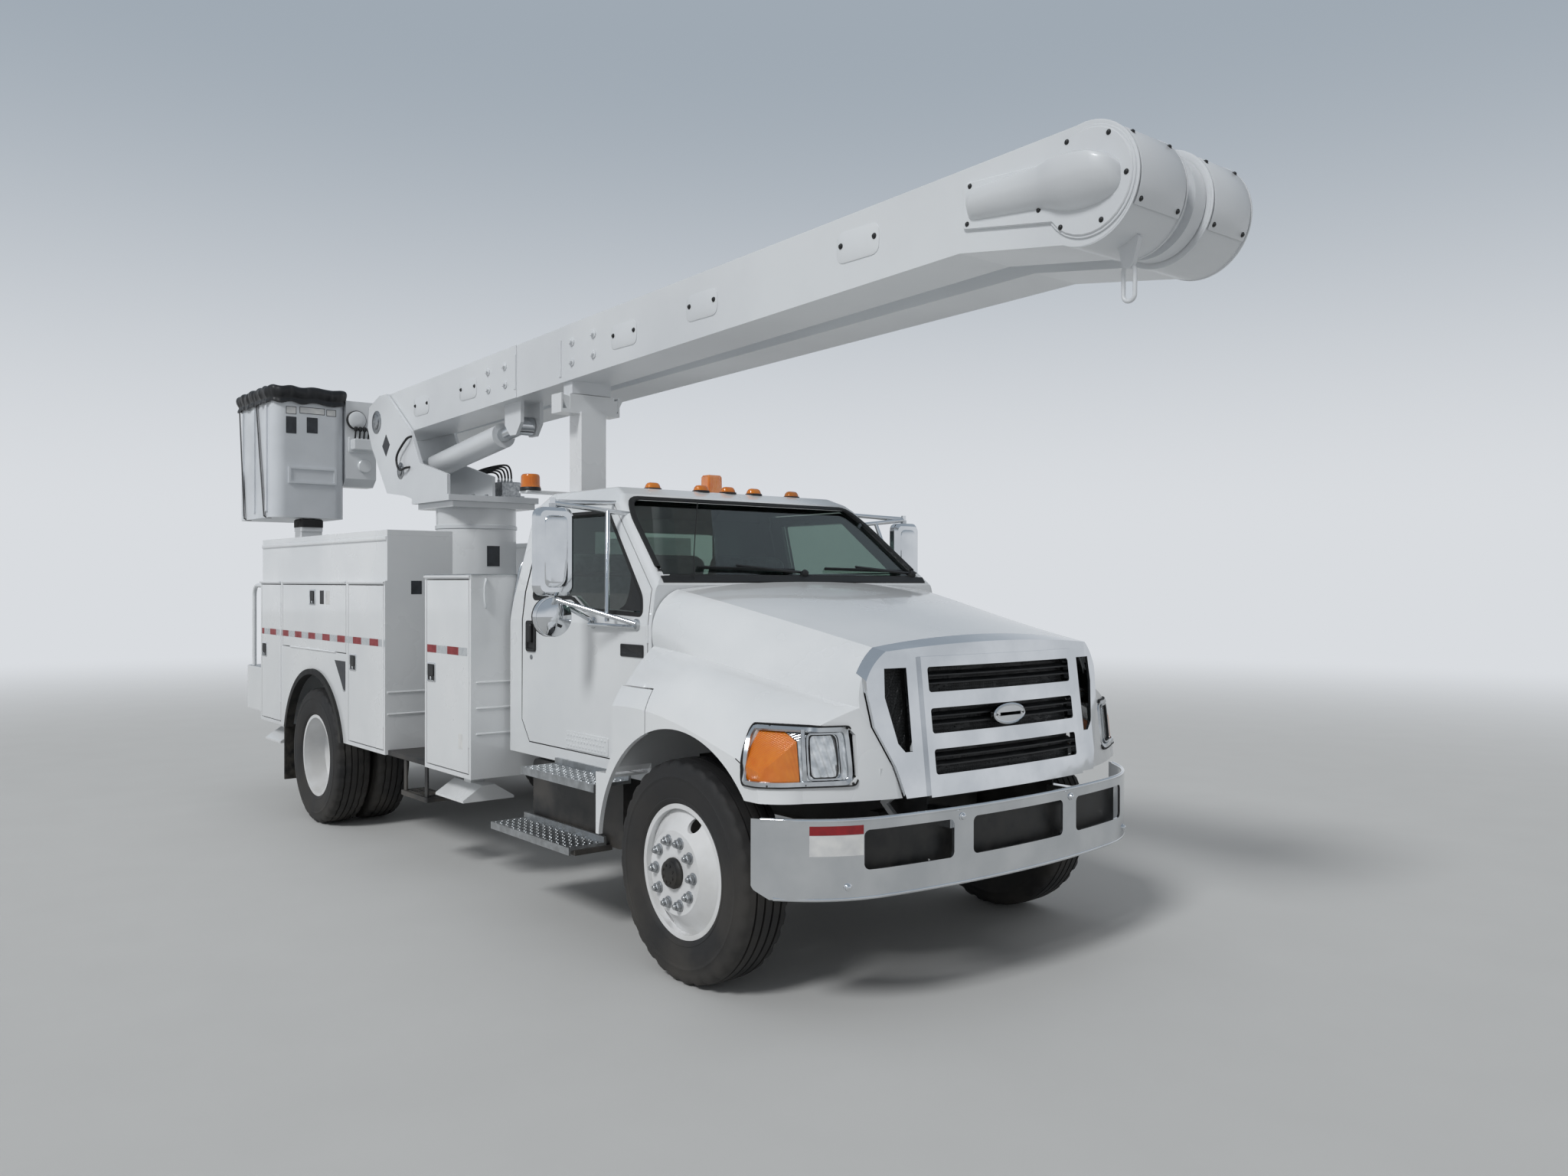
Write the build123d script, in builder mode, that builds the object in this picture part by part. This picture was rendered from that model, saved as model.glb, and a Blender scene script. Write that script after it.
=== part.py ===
"""Cherry picker truck: a two-axle truck with a service body and an articulated bucket boom.

Millimetres, +Z up, the truck's nose towards -Y, its left side towards +X, wheels on Z = 0.
The origin is the middle of the whole truck on the ground. Every length along the truck
is measured rearward from the front axle, on planes that start there; behind the tool cabinets
the same drawings are held by the rear axle, so that the body moves with the wheelbase.
"""
import os
from math import atan2, cos, degrees, radians, sin

from build123d import *

os.makedirs("parts", exist_ok=True)

# Whole truck, measured rearward from the front axle
elbow_y = -1555
elbow_z = 3300
drum_radius = 235
wheelbase = 4623
rear_axle_station = 4623
stretch = wheelbase - rear_axle_station
bucket_front_y = 6625
bucket_length = 1040
bucket_rim = 30

# The middle of the truck's length is the origin
nose_reach = drum_radius - elbow_y
tail_reach = bucket_front_y + bucket_length + bucket_rim
body_datum_y = (nose_reach - tail_reach) / 2
front_axle_y = body_datum_y - stretch
datum_y = front_axle_y

# Running clearances
pin_gap = 0.3
seat_gap = 0.3
door_gap = 6
body_gap = 6

# Hinges
knuckle_radius = 8

# Wheels and tyres
hub_z = 495
tyre_radius = 495
tyre_half_width = 127.5
rim_half_width = 105
rim_radius = 298.5
barrel_radius = 285.5
barrel_wall = 9
wheel_front_x = 1033
wheel_outer_x = 1075
wheel_inner_x = 785
nut_circle = 285.75 / 2
nut_count = 10
kingpin_x = 860
kingpin_radius = 20
spindle_radius = 38
hub_radius = 105

# Chassis frame
rail_x = 432
rail_height = 255
rail_top = 905
rail_flange = 80
rail_wall = 10
rail_front_y = -815
rail_rear_y = 6400 + stretch

# Cab
cab_half_width = 985
cab_wall = 45
cab_corner = 35
cab_front_y = 470
cab_rear_y = 1930
cab_floor_z = 925
cab_low_z = 810
cab_roof_z = 2285
cowl_z = 1790
door_front_y = 500
door_rear_y = 1790
glass_wall = 6

# Hood
hood_wall = 22
fender_x = 1190
fender_inner_x = 640
arch_y = -10
arch_z = 500
arch_radius = 628
hood_low_z = 885
hood_pivot_y = -860
hood_pivot_z = 610
hood_pin_radius = 14
hood_arm_x = 480
hood_arm_wall = 20

# Bumper
bumper_low_z = 510
bumper_top_z = 830
bumper_wall = 12

# Service body
body_x = 1210
box_inner_x = 750
body_front_y = 3230
body_rear_y = 5870
body_low_z = 655
body_top_z = 1780
lid_box_low_z = 1780
lid_box_top_z = 2075
lid_thickness = 35
sheet = 25
floor_z = 1060
floor_thickness = 35
wheel_arch_y = 4600
wheel_arch_radius = 640
wheel_arch_z = 495
middle_door_low_z = 1275
cabinet_front_y = 1965
cabinet_rear_y = 2600
cabinet_top_z = 1815
cabinet_inner_x = 780
tail_rear_y = 6450
tail_top_z = 1060
tail_low_z = 700
tail_x = 1150
hitch_z = 800
hitch_spacing_x = 120
hitch_spacing_z = 85
hitch_hole_radius = 7.5
tail_wall = 30

# Outriggers
outriggers = (("outrigger_front", 2300), ("outrigger_rear", 5620))
leg_x = 1030
leg_half = 45
leg_top_z = 1330
sleeve_wall = 12
sleeve_top_z = 1300
shoe_low_z = 500
shoe_half_y = 190

# Pedestal and turret
pedestal_y = 4454
pedestal_radius = 307
pedestal_top_z = 2385
turret_base_z = pedestal_top_z + seat_gap
turret_base_top = 2430
turret_plate = 25
boom_x_low = -352
boom_x_high = -25
lift_pin_y = 5533
lift_pin_z = 3107
lift_pin_radius = 55

# Booms
boom_wall = 14
boom_low_rear = (4830, 2974)
boom_kink = (-920, 3167)
boom_top_rear = (5330, 3318)
upper_x_low = 150
upper_x_high = 450
tip_y = 6790
tip_z = 3075
tip_radius = 98
tip_pin_radius = 45
insert_front_y = 2500
insert_rear_y = 3100
insert_depth = 5

# Boom rest
rest_y_low = 2345
rest_y_high = 2495
cradle_top_z = 2972

# Lift cylinder
cylinder_base_y = 5020
cylinder_base_z = 2665
cylinder_eye_y = 3296
cylinder_eye_z = 2870
cylinder_radius = 90
cylinder_bore = 75
cylinder_rod = 50
barrel_length = 1420

# Bucket
bucket_x_low = -892
bucket_x_high = -247
bucket_low_z = 2345
bucket_top_z = 3440
bucket_corner = 110
bucket_wall = 12
bracket_front_y = 6640
bracket_x_low = bucket_x_high + seat_gap
bracket_x_high = 35

def side(x):
    """The plane at X = x, drawn rearward and up."""
    return Plane(origin=(x, datum_y, 0), x_dir=(0, 1, 0), z_dir=(1, 0, 0))


def level(z):
    """The plane at Z = z, drawn to the left and rearward."""
    return Plane(origin=(0, datum_y, z))


def across(y):
    """The plane that crosses the truck y behind the front axle, drawn left and up, facing forward."""
    return Plane(origin=(0, datum_y + y, 0), x_dir=(1, 0, 0), z_dir=(0, -1, 0))


def outline(plane, points, corner=0, inset=0):
    """A face with straight sides through the points, its corners rounded, drawn in by inset."""
    with BuildSketch(plane) as face:
        with BuildLine():
            Polyline(*points, close=True)
        make_face()
        if inset:
            offset(amount=-inset, kind=Kind.INTERSECTION, mode=Mode.REPLACE)
        if corner:
            fillet(face.vertices(), corner)
    return face.sketch


def slab(points, x_low, x_high, corner=0, inset=0, mode=Mode.ADD):
    """A plate or prism from a side view (rearward, up), from x_low to x_high."""
    extrude(outline(side(x_low), points, corner, inset), amount=x_high - x_low, mode=mode)


def block(low, high, mode=Mode.ADD):
    """A box between two corners."""
    x_low, y_low, z_low = low
    x_high, y_high, z_high = high
    slab(box_points(y_low, y_high, z_low, z_high), x_low, x_high, mode=mode)


def bar(start, end, radius, mode=Mode.ADD):
    """A round bar between two points."""
    run = Vector(*end) - Vector(*start)
    plane = Plane(origin=Vector(*start) + Vector(0, datum_y, 0), z_dir=run)
    with BuildSketch(plane) as disc:
        Circle(radius)
    extrude(disc.sketch, amount=run.length, mode=mode)


def turned(points, y, z, mode=Mode.ADD):
    """A turned piece whose section is given as (X, radius), about the line along X at y and z."""
    section = outline(across(y), [(x, z + radius) for x, radius in points])
    revolve(section, axis=Axis((0, datum_y + y, z), (1, 0, 0)), mode=mode)


def box_points(y_low, y_high, z_low, z_high):
    """The four corners of an upright rectangle in a side view."""
    return [(y_low, z_low), (y_high, z_low), (y_high, z_high), (y_low, z_high)]


def knuckles(start, end, own):
    """A hinge's knuckles between two points: its own are added, the other leaf's get their room.

    There are three, of which the fixed leaf owns the outer two and the moving leaf the middle one.
    """
    first = Vector(*start)
    run = Vector(*end) - first
    shorter = run.normalized() * (seat_gap / 2)
    for place, leaf in enumerate(("fixed", "moving", "fixed")):
        low = first + run * (place / 3)
        high = first + run * ((place + 1) / 3)
        if leaf == own:
            bar(tuple(low + shorter), tuple(high - shorter), knuckle_radius)
        else:
            bar(tuple(low), tuple(high), knuckle_radius + pin_gap, Mode.SUBTRACT)


def sleeve(y, low_z):
    """The square tube that guides an outrigger's leg."""
    half = leg_half + sleeve_wall
    hole = leg_half + pin_gap
    block((leg_x - half, y - half, low_z), (leg_x + half, y + half, sleeve_top_z))
    block((leg_x - hole, y - hole, low_z - 50), (leg_x + hole, y + hole, sleeve_top_z + 50), mode=Mode.SUBTRACT)


def export_pair(name, piece):
    """Write a left piece, and its mirror image for the right."""
    piece.part.label = f"{name}_left"
    export_step(piece.part, f"parts/{name}_left.step")
    with BuildPart() as twin:
        mirror(piece.part, about=Plane.YZ)
    twin.part.label = f"{name}_right"
    export_step(twin.part, f"parts/{name}_right.step")


# Chassis frame: two C-shaped rails and the members between them
cross_member_depth = 120
cross_members_y = (-560, 1750, 2420, *(wheelbase + y for y in (-1423, -473, 477, 1717)))
with BuildPart() as frame_rails:
    rail_low = rail_top - rail_height
    rail_section = [
        (rail_x, rail_low), (rail_x, rail_top), (rail_x - rail_flange, rail_top),
        (rail_x - rail_flange, rail_top - rail_wall), (rail_x - rail_wall, rail_top - rail_wall),
        (rail_x - rail_wall, rail_low + rail_wall), (rail_x - rail_flange, rail_low + rail_wall),
        (rail_x - rail_flange, rail_low),
    ]
    extrude(outline(across(rail_front_y), rail_section), amount=rail_front_y - rail_rear_y)
    slab([(rail_front_y + 60, rail_low + 5), (rail_front_y, rail_low + 90), (hood_pivot_y - 25, hood_pivot_z + 5),
          (hood_pivot_y - 20, hood_pivot_z - 20), (hood_pivot_y + 20, hood_pivot_z - 20)],
         rail_x - rail_wall, rail_x)
    bar((rail_x - rail_wall, hood_pivot_y, hood_pivot_z), (hood_arm_x + hood_arm_wall + 5, hood_pivot_y, hood_pivot_z),
        hood_pin_radius)
    mirror(about=Plane.YZ)
    for y in cross_members_y:
        block((-rail_x + rail_wall / 2, y - 40, rail_top - cross_member_depth),
              (rail_x - rail_wall / 2, y + 40, rail_top))
frame_rails.part.label = "frame_rails"
export_step(frame_rails.part, "parts/frame_rails.step")

# Axles and their leaf springs
spring_width = 75
spring_inner_x = rail_x + seat_gap
beam_low_z = 440
beam_top_z = 530
boss_radius = 42
with BuildPart() as axles:
    block((-kingpin_x, -45, beam_low_z), (kingpin_x, 45, beam_top_z))
    for x in (-kingpin_x, kingpin_x):
        bar((x, 0, beam_low_z - 5), (x, 0, beam_top_z + 25), boss_radius)
    for x in (-kingpin_x, kingpin_x):
        bar((x, 0, beam_low_z - 10), (x, 0, beam_top_z + 30), kingpin_radius + pin_gap, Mode.SUBTRACT)
    # length each way, height of the spring's middle and of its eyes
    for axle_y, reach, spring_low, eye_z in ((0, 600, beam_top_z, 600), (wheelbase, 700, 570, 640)):
        leaf = [(axle_y - reach, eye_z), (axle_y, spring_low), (axle_y + reach, eye_z),
                (axle_y + reach, eye_z + 30), (axle_y, spring_low + 60), (axle_y - reach, eye_z + 30)]
        for x in (spring_inner_x, -spring_inner_x - spring_width):
            slab(leaf, x, x + spring_width)
            for end_y in (axle_y - reach, axle_y + reach - 60):
                block((x, end_y, eye_z), (x + spring_width, end_y + 60, rail_low + 120))
    bar((-640, wheelbase, hub_z), (640, wheelbase, hub_z), 75)
    bar((-900, wheelbase, hub_z), (900, wheelbase, hub_z), spindle_radius)
    with Locations((0, datum_y + wheelbase, hub_z)):
        Sphere(190)
    for x in (spring_inner_x, -spring_inner_x - spring_width):
        block((x, wheelbase - 60, hub_z), (x + spring_width, wheelbase + 60, 572))
axles.part.label = "axles"
export_step(axles.part, "parts/axles.step")

# Steering knuckle with its kingpin and spindle
with BuildPart() as knuckle:
    bar((kingpin_x, 0, 400), (kingpin_x, 0, 600), kingpin_radius)
    block((kingpin_x - 40, -40, 385), (kingpin_x + 90, 40, 425))
    block((kingpin_x - 40, -40, 565), (kingpin_x + 90, 40, 605))
    block((kingpin_x + 58, -60, 385), (kingpin_x + 90, 60, 605))
    bar((kingpin_x + 85, 0, hub_z), (kingpin_x + 245, 0, hub_z), spindle_radius)
    block((kingpin_x - 15, 30, 385), (kingpin_x + 15, 190, 405))
export_pair("knuckle", knuckle)

# Tyres
tread = [(-98.7, 285.8), (-98.7, 300), (-122, 350), (-tyre_half_width, 405), (-120, 462), (-100, 489),
         (0, tyre_radius), (100, 489), (120, 462), (tyre_half_width, 405), (122, 350), (98.7, 300),
         (98.7, 285.8)]
with BuildPart() as tyre_front:
    turned([(wheel_front_x + x, r) for x, r in tread], 0, hub_z)
export_pair("tyre_front", tyre_front)
with BuildPart() as tyres_rear:
    for centre_x in (wheel_inner_x, wheel_outer_x):
        turned([(centre_x + x, r) for x, r in tread], wheelbase, hub_z)
export_pair("tyres_rear", tyres_rear)

# Wheels: a barrel with two flanges, and a disc bolted to the hub
barrel = [(-rim_half_width, rim_radius), (-99, rim_radius), (-99, barrel_radius), (99, barrel_radius),
          (99, rim_radius), (rim_half_width, rim_radius), (rim_half_width, barrel_radius - barrel_wall),
          (-rim_half_width, barrel_radius - barrel_wall)]
front_disc_x = 140
hand_hole_circle = 238
hand_hole_radius = 32
with BuildPart() as rim_front:
    turned([(wheel_front_x + x, r) for x, r in barrel], 0, hub_z)
    disc = [(55, 280), (70, 280), (125, 205), (front_disc_x, 185), (front_disc_x, 60),
            (front_disc_x - 12, 60), (front_disc_x - 12, 180), (112, 200)]
    turned([(wheel_front_x + x, r) for x, r in disc], 0, hub_z)
    turned([(wheel_front_x - 40, 0), (wheel_front_x - 40, hub_radius), (wheel_front_x + front_disc_x, hub_radius),
            (wheel_front_x + front_disc_x, 62), (wheel_front_x + 168, 55), (wheel_front_x + 168, 0)], 0, hub_z)
    bar((kingpin_x, 0, hub_z), (kingpin_x + 250, 0, hub_z), spindle_radius + pin_gap, Mode.SUBTRACT)
    with BuildSketch(side(wheel_front_x + front_disc_x - 1)):
        with Locations((0, hub_z)):
            with PolarLocations(nut_circle, nut_count):
                RegularPolygon(18, 6)
    extrude(amount=24)
    with BuildSketch(side(wheel_front_x)):
        with Locations((0, hub_z)):
            with PolarLocations(hand_hole_circle, 2, start_angle=114):
                Circle(hand_hole_radius)
    extrude(amount=200, mode=Mode.SUBTRACT)
export_pair("rim_front", rim_front)

mount_x = (wheel_inner_x + wheel_outer_x) / 2
with BuildPart() as rims_rear:
    for centre_x, sign in ((wheel_outer_x, 1), (wheel_inner_x, -1)):
        turned([(centre_x + x, r) for x, r in barrel], wheelbase, hub_z)
        reach = sign * (centre_x - mount_x)
        dish = [(0, 60), (0, 190), (reach - 60, 280), (reach - 46, 280), (12, 196), (12, 60)]
        turned([(mount_x + sign * x, r) for x, r in dish], wheelbase, hub_z)
    turned([(mount_x - 200, 0), (mount_x - 200, hub_radius), (mount_x + 60, hub_radius),
            (mount_x + 60, 85), (mount_x + 120, 75), (mount_x + 120, 0)], wheelbase, hub_z)
    bar((640, wheelbase, hub_z), (905, wheelbase, hub_z), spindle_radius + pin_gap, Mode.SUBTRACT)
    with BuildSketch(side(mount_x + 11)):
        with Locations((wheelbase, hub_z)):
            with PolarLocations(nut_circle, nut_count):
                RegularPolygon(18, 6)
    extrude(amount=24)
export_pair("rims_rear", rims_rear)

# Engine as one plain mass, with its gearbox, the radiator and the shaft to the rear axle
engine_x = 330
engine_front_y = -430
engine_rear_y = 390
engine_top_z = 1400
radiator_y = -560
with BuildPart() as powertrain:
    block((-engine_x, engine_front_y, 600), (engine_x, engine_rear_y, engine_top_z))
    block((-200, engine_rear_y - 5, 600), (200, 1500, 880))
    for x in (-rail_x + rail_wall + seat_gap, engine_x - 5):
        block((x, -60, 700), (x + rail_x - rail_wall - seat_gap - engine_x + 5, 60, 780))
    bar((0, 1490, 700), (0, wheelbase - 200, 560), 45)
    block((-340, radiator_y - 35, rail_top + seat_gap), (340, radiator_y + 35, 1390))
powertrain.part.label = "powertrain"
export_step(powertrain.part, "parts/powertrain.step")

# Battery box on the right and fuel tank on the left, with the brackets of the cab steps
step_x = 1200
tank_outer_x = 960
tank_inner_x = 480
with BuildPart() as side_tanks:
    for x_low, x_high in ((-tank_outer_x, -tank_inner_x), (tank_inner_x, tank_outer_x)):
        slab(box_points(760, 1700, 430, 790), x_low, x_high, corner=40)
    for y in (900, 1520):
        for sign in (-1, 1):
            for x_a, x_b in ((rail_x + seat_gap, tank_inner_x + 5), (tank_outer_x - 5, step_x - 30)):
                x_low, x_high = sorted((sign * x_a, sign * x_b))
                if x_a < tank_inner_x:
                    block((x_low, y - 30, 670), (x_high, y + 30, 780))
                else:
                    block((x_low, y - 30, 415), (x_high, y + 30, 440))
            x_low, x_high = sorted((sign * (tank_outer_x - 5), sign * (tank_outer_x + 120)))
            block((x_low, min(y, 1330) - 30, 760), (x_high, min(y, 1330) + 30, 784))
side_tanks.part.label = "side_tanks"
export_step(side_tanks.part, "parts/side_tanks.step")

# Cab steps: treads folded up along their back edge
upper_step_z = 800
lower_step_z = 400
step_width = 215
with BuildPart() as cab_steps:
    for y_low, y_high, z, bracket_z in ((650, 1385, 784 + seat_gap, 0), (880, 1735, 440 + seat_gap, 0)):
        block((step_x - step_width, y_low, z), (step_x, y_high, z + 16))
        block((step_x - step_width, y_low, z), (step_x - step_width + 14, y_high, z + 45))
        block((step_x - 10, y_low, z - 22), (step_x, y_high, z + 16))
    mirror(about=Plane.YZ)
cab_steps.part.label = "cab_steps"
export_step(cab_steps.part, "parts/cab_steps.step")

# Front bumper: a curved plate with three openings
bumper_end = (1200, -584)
bumper_bend = (760, -900)
bumper_nose_y = -965
bumper_windows = ((-865, -415), (-305, 305), (415, 865))
with BuildPart() as front_bumper:
    with BuildSketch(level(bumper_low_z)):
        with BuildLine():
            nose = ThreePointArc((-bumper_bend[0], bumper_bend[1]), (0, bumper_nose_y), bumper_bend)
            left_end = TangentArc(nose @ 1, bumper_end, tangent=nose % 1)
            right_end = TangentArc(nose @ 0, (-bumper_end[0], bumper_end[1]), tangent=-(nose % 0))
            offset(amount=bumper_wall, side=Side.RIGHT)
        make_face()
    extrude(amount=bumper_top_z - bumper_low_z)
    for x_low, x_high in bumper_windows:
        with BuildSketch(across(-1000)):
            with Locations(((x_low + x_high) / 2, 705)):
                RectangleRounded(x_high - x_low, 160, 25)
        extrude(amount=-200, mode=Mode.SUBTRACT)
    end_y = bumper_end[1]
    slab([(end_y - 80, bumper_low_z - 5), (end_y + 20, bumper_low_z - 5), (end_y + 20, bumper_low_z + 95),
          (end_y - 15, bumper_low_z + 35)], -1300, 1300, mode=Mode.SUBTRACT)
    for x in (-rail_x + 26, rail_x - 26):
        block((x - 22, -945, 745), (x + 22, rail_front_y - seat_gap, 828))
front_bumper.part.label = "front_bumper"
export_step(front_bumper.part, "parts/front_bumper.step")

# Cab: the outer form is a side view crossed with a front view
cab_side = [(cab_front_y, cab_low_z), (cab_rear_y, cab_low_z), (cab_rear_y, 2180), (1840, cab_roof_z),
            (1150, cab_roof_z), (1030, 2240), (cab_front_y + 22, cowl_z), (cab_front_y, cowl_z - 30)]
cab_front = [(-cab_half_width, cab_low_z), (cab_half_width, cab_low_z), (cab_half_width, 1560),
             (cab_half_width - 20, 1720), (840, 2190), (760, cab_roof_z), (-760, cab_roof_z),
             (-840, 2190), (-cab_half_width + 20, 1720), (-cab_half_width, 1560)]
door_outline = [(560, 880), (door_front_y, 985), (door_front_y, 1740), (1060, 2200), (1750, 2200),
                (door_rear_y, 2140), (door_rear_y, 1000), (1700, 880)]
cab_hinges = tuple(
    ((cab_half_width, door_front_y + door_gap / 2, z), (cab_half_width, door_front_y + door_gap / 2, z + 90))
    for z in (1040, 1480))
door_piece = door_outline[:4] + [(1738, 2200), (1778, 2120)] + door_outline[6:]
window_outline = [(575, 1622), (590, 1700), (1085, 2135), (1660, 2135), (1672, 1690), (1250, 1700), (1130, 1640)]
windscreen_outline = [(-885, 1812), (885, 1812), (812, 2120), (760, 2205), (-760, 2205), (-812, 2120)]


def cab_form(inset, corner=0):
    """The solid form of the cab, drawn in all round by inset, its upper edges rounded by corner."""
    with BuildPart() as form:
        extrude(outline(side(-1200), cab_side, inset=inset), amount=2400)
        extrude(outline(across(0), cab_front, inset=inset), amount=-2500, mode=Mode.INTERSECT)
        if corner:
            roof_edges = [edge for edge in form.edges() if edge.center().Z > cowl_z]
            fillet(roof_edges, corner)
    return form.part


# Form of the hood and fenders, from the nose back to the doors
hood_sections = (
    # y, crown height, shoulder, flank, valley, fender crest and fender edge as (x, z)
    (-960, 1492, (670, 1462), (735, 1365), (755, 1240), (950, 1130), (1165, 940)),
    (-560, 1580, (690, 1535), (795, 1430), (845, 1300), (1015, 1215), (1178, 1020)),
    (-150, 1668, (740, 1618), (870, 1500), (928, 1385), (1080, 1315), (1187, 1130)),
    (200, 1735, (800, 1690), (925, 1590), (965, 1440), (1105, 1340), (1190, 1190)),
    (640, 1800, (850, 1765), (960, 1660), (985, 1480), (1100, 1330), (1190, 1170)),
)
nose_plan = ((1200, -520), (1135, -655), (1040, -712), (860, -800), (660, -868), (0, -905))
nose_lean = 0.127
form_low_z = 560
form_high_z = 1860


def nose_form(inset, stand=0):
    """The solid form of the hood and fenders, its skin drawn in by inset and its nose moved out by stand."""
    with BuildPart() as form:
        for y, crown, *rest in hood_sections:
            shoulder, flank, valley, crest, edge = [(x - inset, z - inset) for x, z in rest]
            points = [shoulder, flank, valley, crest, edge]
            right = [(-x, z) for x, z in points]
            with BuildSketch(across(y)):
                with BuildLine():
                    ThreePointArc(right[0], (0, crown - inset), points[0])
                    ThreePointArc(points[0], points[1], points[2])
                    ThreePointArc(points[2], points[3], points[4])
                    Polyline(points[4], (edge[0], form_low_z), (-edge[0], form_low_z), right[4])
                    ThreePointArc(right[4], right[3], right[2])
                    ThreePointArc(right[2], right[1], right[0])
                make_face()
        loft()
        with BuildPart(mode=Mode.INTERSECT):
            for z in (form_low_z - 20, form_high_z):
                shift = (z - hood_low_z) * nose_lean - stand
                corner, bend, cheek, slope, brow, centre = [(x, y + shift) for x, y in nose_plan]
                with BuildSketch(level(z)):
                    with BuildLine():
                        ThreePointArc(corner, bend, cheek)
                        ThreePointArc(cheek, slope, brow)
                        ThreePointArc(brow, centre, (-brow[0], brow[1]))
                        ThreePointArc((-brow[0], brow[1]), (-slope[0], slope[1]), (-cheek[0], cheek[1]))
                        ThreePointArc((-cheek[0], cheek[1]), (-bend[0], bend[1]), (-corner[0], corner[1]))
                        Polyline((-corner[0], corner[1]), (-corner[0], 660), (corner[0], 660), corner)
                    make_face()
            loft(ruled=True)
    return form.part


with BuildPart() as nose_shell:
    add(nose_form(0))
    add(nose_form(hood_wall, -hood_wall), mode=Mode.SUBTRACT)
with BuildPart() as wheel_arches:
    for low, high in ((-1300, -fender_inner_x), (fender_inner_x, 1300)):
        bar((low, arch_y, arch_z), (high, arch_y, arch_z), arch_radius)

# The fender's quarter behind the seam is fixed to the cab
seam_y = 210
seam_z = 1290
quarter_outline = [(seam_y + door_gap, seam_z - door_gap), (seam_y + door_gap, 568), (640, 568), (640, 865),
                   (552, 868), (door_front_y - 6, 975), (door_front_y - 6, seam_z - door_gap)]
with BuildPart() as fender_quarter:
    add(nose_shell.part)
    with BuildPart(mode=Mode.ADD):
        add(nose_form(2))
        slab([(cab_front_y, 800), (cab_front_y + 22, 800), (cab_front_y + 22, 1400), (cab_front_y, 1400)],
             -1300, 1300, mode=Mode.INTERSECT)
        block((-cab_half_width + 5, 0, 500), (cab_half_width - 5, 900, 1500), mode=Mode.SUBTRACT)
    with BuildPart(mode=Mode.ADD):
        add(nose_form(2))
        slab([(cab_front_y, 850), (640, 850), (640, 864), (cab_front_y, 864)], -1300, 1300, mode=Mode.INTERSECT)
        block((-cab_half_width + 5, 0, 500), (cab_half_width - 5, 900, 1500), mode=Mode.SUBTRACT)
    with BuildPart(mode=Mode.INTERSECT):
        for low, high in ((-1300, -cab_half_width + 5), (cab_half_width - 5, 1300)):
            slab(quarter_outline, low, high)
    add(wheel_arches.part, mode=Mode.SUBTRACT)
    block((-cab_half_width - 6, 0, 500), (cab_half_width + 6, cab_front_y - 1, 1500), mode=Mode.SUBTRACT)

# Room for the lamps and for the grille shell in the hood's nose
lamp_outline = [(822, 985), (818, 1150), (838, 1172), (1300, 1172), (1300, 967), (845, 967)]
lamp_inner_x = 842
lamp_split_x = 1040
lamp_rear_y = -492
grille_front = [(0, 1600), (705, 1600), (745, 1490), (772, 1400), (772, 1330), (752, 1180), (674, 1017),
                (634, hood_low_z), (0, hood_low_z)]
grille_rear_y = -735
grille_stand = 24
grille_wall = 14


def lamp_room(gap):
    """The room of the lamps in the hood's nose, made larger all round by gap."""
    with BuildPart() as room:
        for sign in (-1, 1):
            points = [(sign * x, z) for x, z in lamp_outline]
            extrude(outline(across(-1200), points, inset=-gap), amount=-1200 - lamp_rear_y - gap)
    return room.part


def grille_room(gap):
    """The room of the grille shell at the front of the hood, made larger by gap."""
    with BuildPart() as room:
        points = grille_front + [(-x, z) for x, z in reversed(grille_front) if x]
        extrude(outline(across(-1300), points, inset=-gap), amount=-1300 - grille_rear_y - gap)
    return room.part


cab_outer = cab_form(0, cab_corner)
cab_inner = cab_form(cab_wall)
pane_outer = cab_form(18)
pane_inner = cab_form(18 + glass_wall)
with BuildPart() as windscreen_prism:
    extrude(outline(across(300), windscreen_outline), amount=-850)
rear_window = [(-450, 1720), (450, 1720), (450, 2080), (-450, 2080)]
with BuildPart() as rear_window_prism:
    extrude(outline(across(1800), rear_window), amount=-250)

with BuildPart() as cab_shell:
    add(cab_outer)
    add(cab_inner, mode=Mode.SUBTRACT)
    block((-700, 300, 700), (700, 2000, cab_floor_z), mode=Mode.SUBTRACT)
    block((-cab_half_width + 5, cab_front_y + 5, cab_floor_z), (cab_half_width - 5, cab_rear_y - 5, 970))
    add(windscreen_prism.part, mode=Mode.SUBTRACT)
    add(rear_window_prism.part, mode=Mode.SUBTRACT)
    for x in (-1250, 700):
        slab(door_outline, x, x + 550, mode=Mode.SUBTRACT)
    add(fender_quarter.part)
    for start, end in cab_hinges:
        knuckles(start, end, "fixed")
        knuckles((-start[0], *start[1:]), (-end[0], *end[1:]), "fixed")
cab_shell.part.label = "cab_shell"
export_step(cab_shell.part, "parts/cab_shell.step")

with BuildPart() as cab_glass:
    add(pane_outer)
    add(pane_inner, mode=Mode.SUBTRACT)
    with BuildPart(mode=Mode.PRIVATE) as openings:
        extrude(outline(across(300), windscreen_outline, inset=seat_gap), amount=-850)
        extrude(outline(across(1800), rear_window, inset=seat_gap), amount=-250)
    add(openings.part, mode=Mode.INTERSECT)
cab_glass.part.label = "cab_glass"
export_step(cab_glass.part, "parts/cab_glass.step")

# Cab door: the piece of the cab's wall inside the door's outline
door_wall = 50
with BuildPart() as cab_door:
    slab(door_piece, 700, 1100, inset=door_gap)
    add(cab_outer, mode=Mode.INTERSECT)
    extrude(outline(across(0), cab_front, inset=door_wall), amount=-2500, mode=Mode.SUBTRACT)
    slab(window_outline, 600, 1100, mode=Mode.SUBTRACT)
    for start, end in cab_hinges:
        knuckles(start, end, "moving")
export_pair("cab_door", cab_door)

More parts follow.
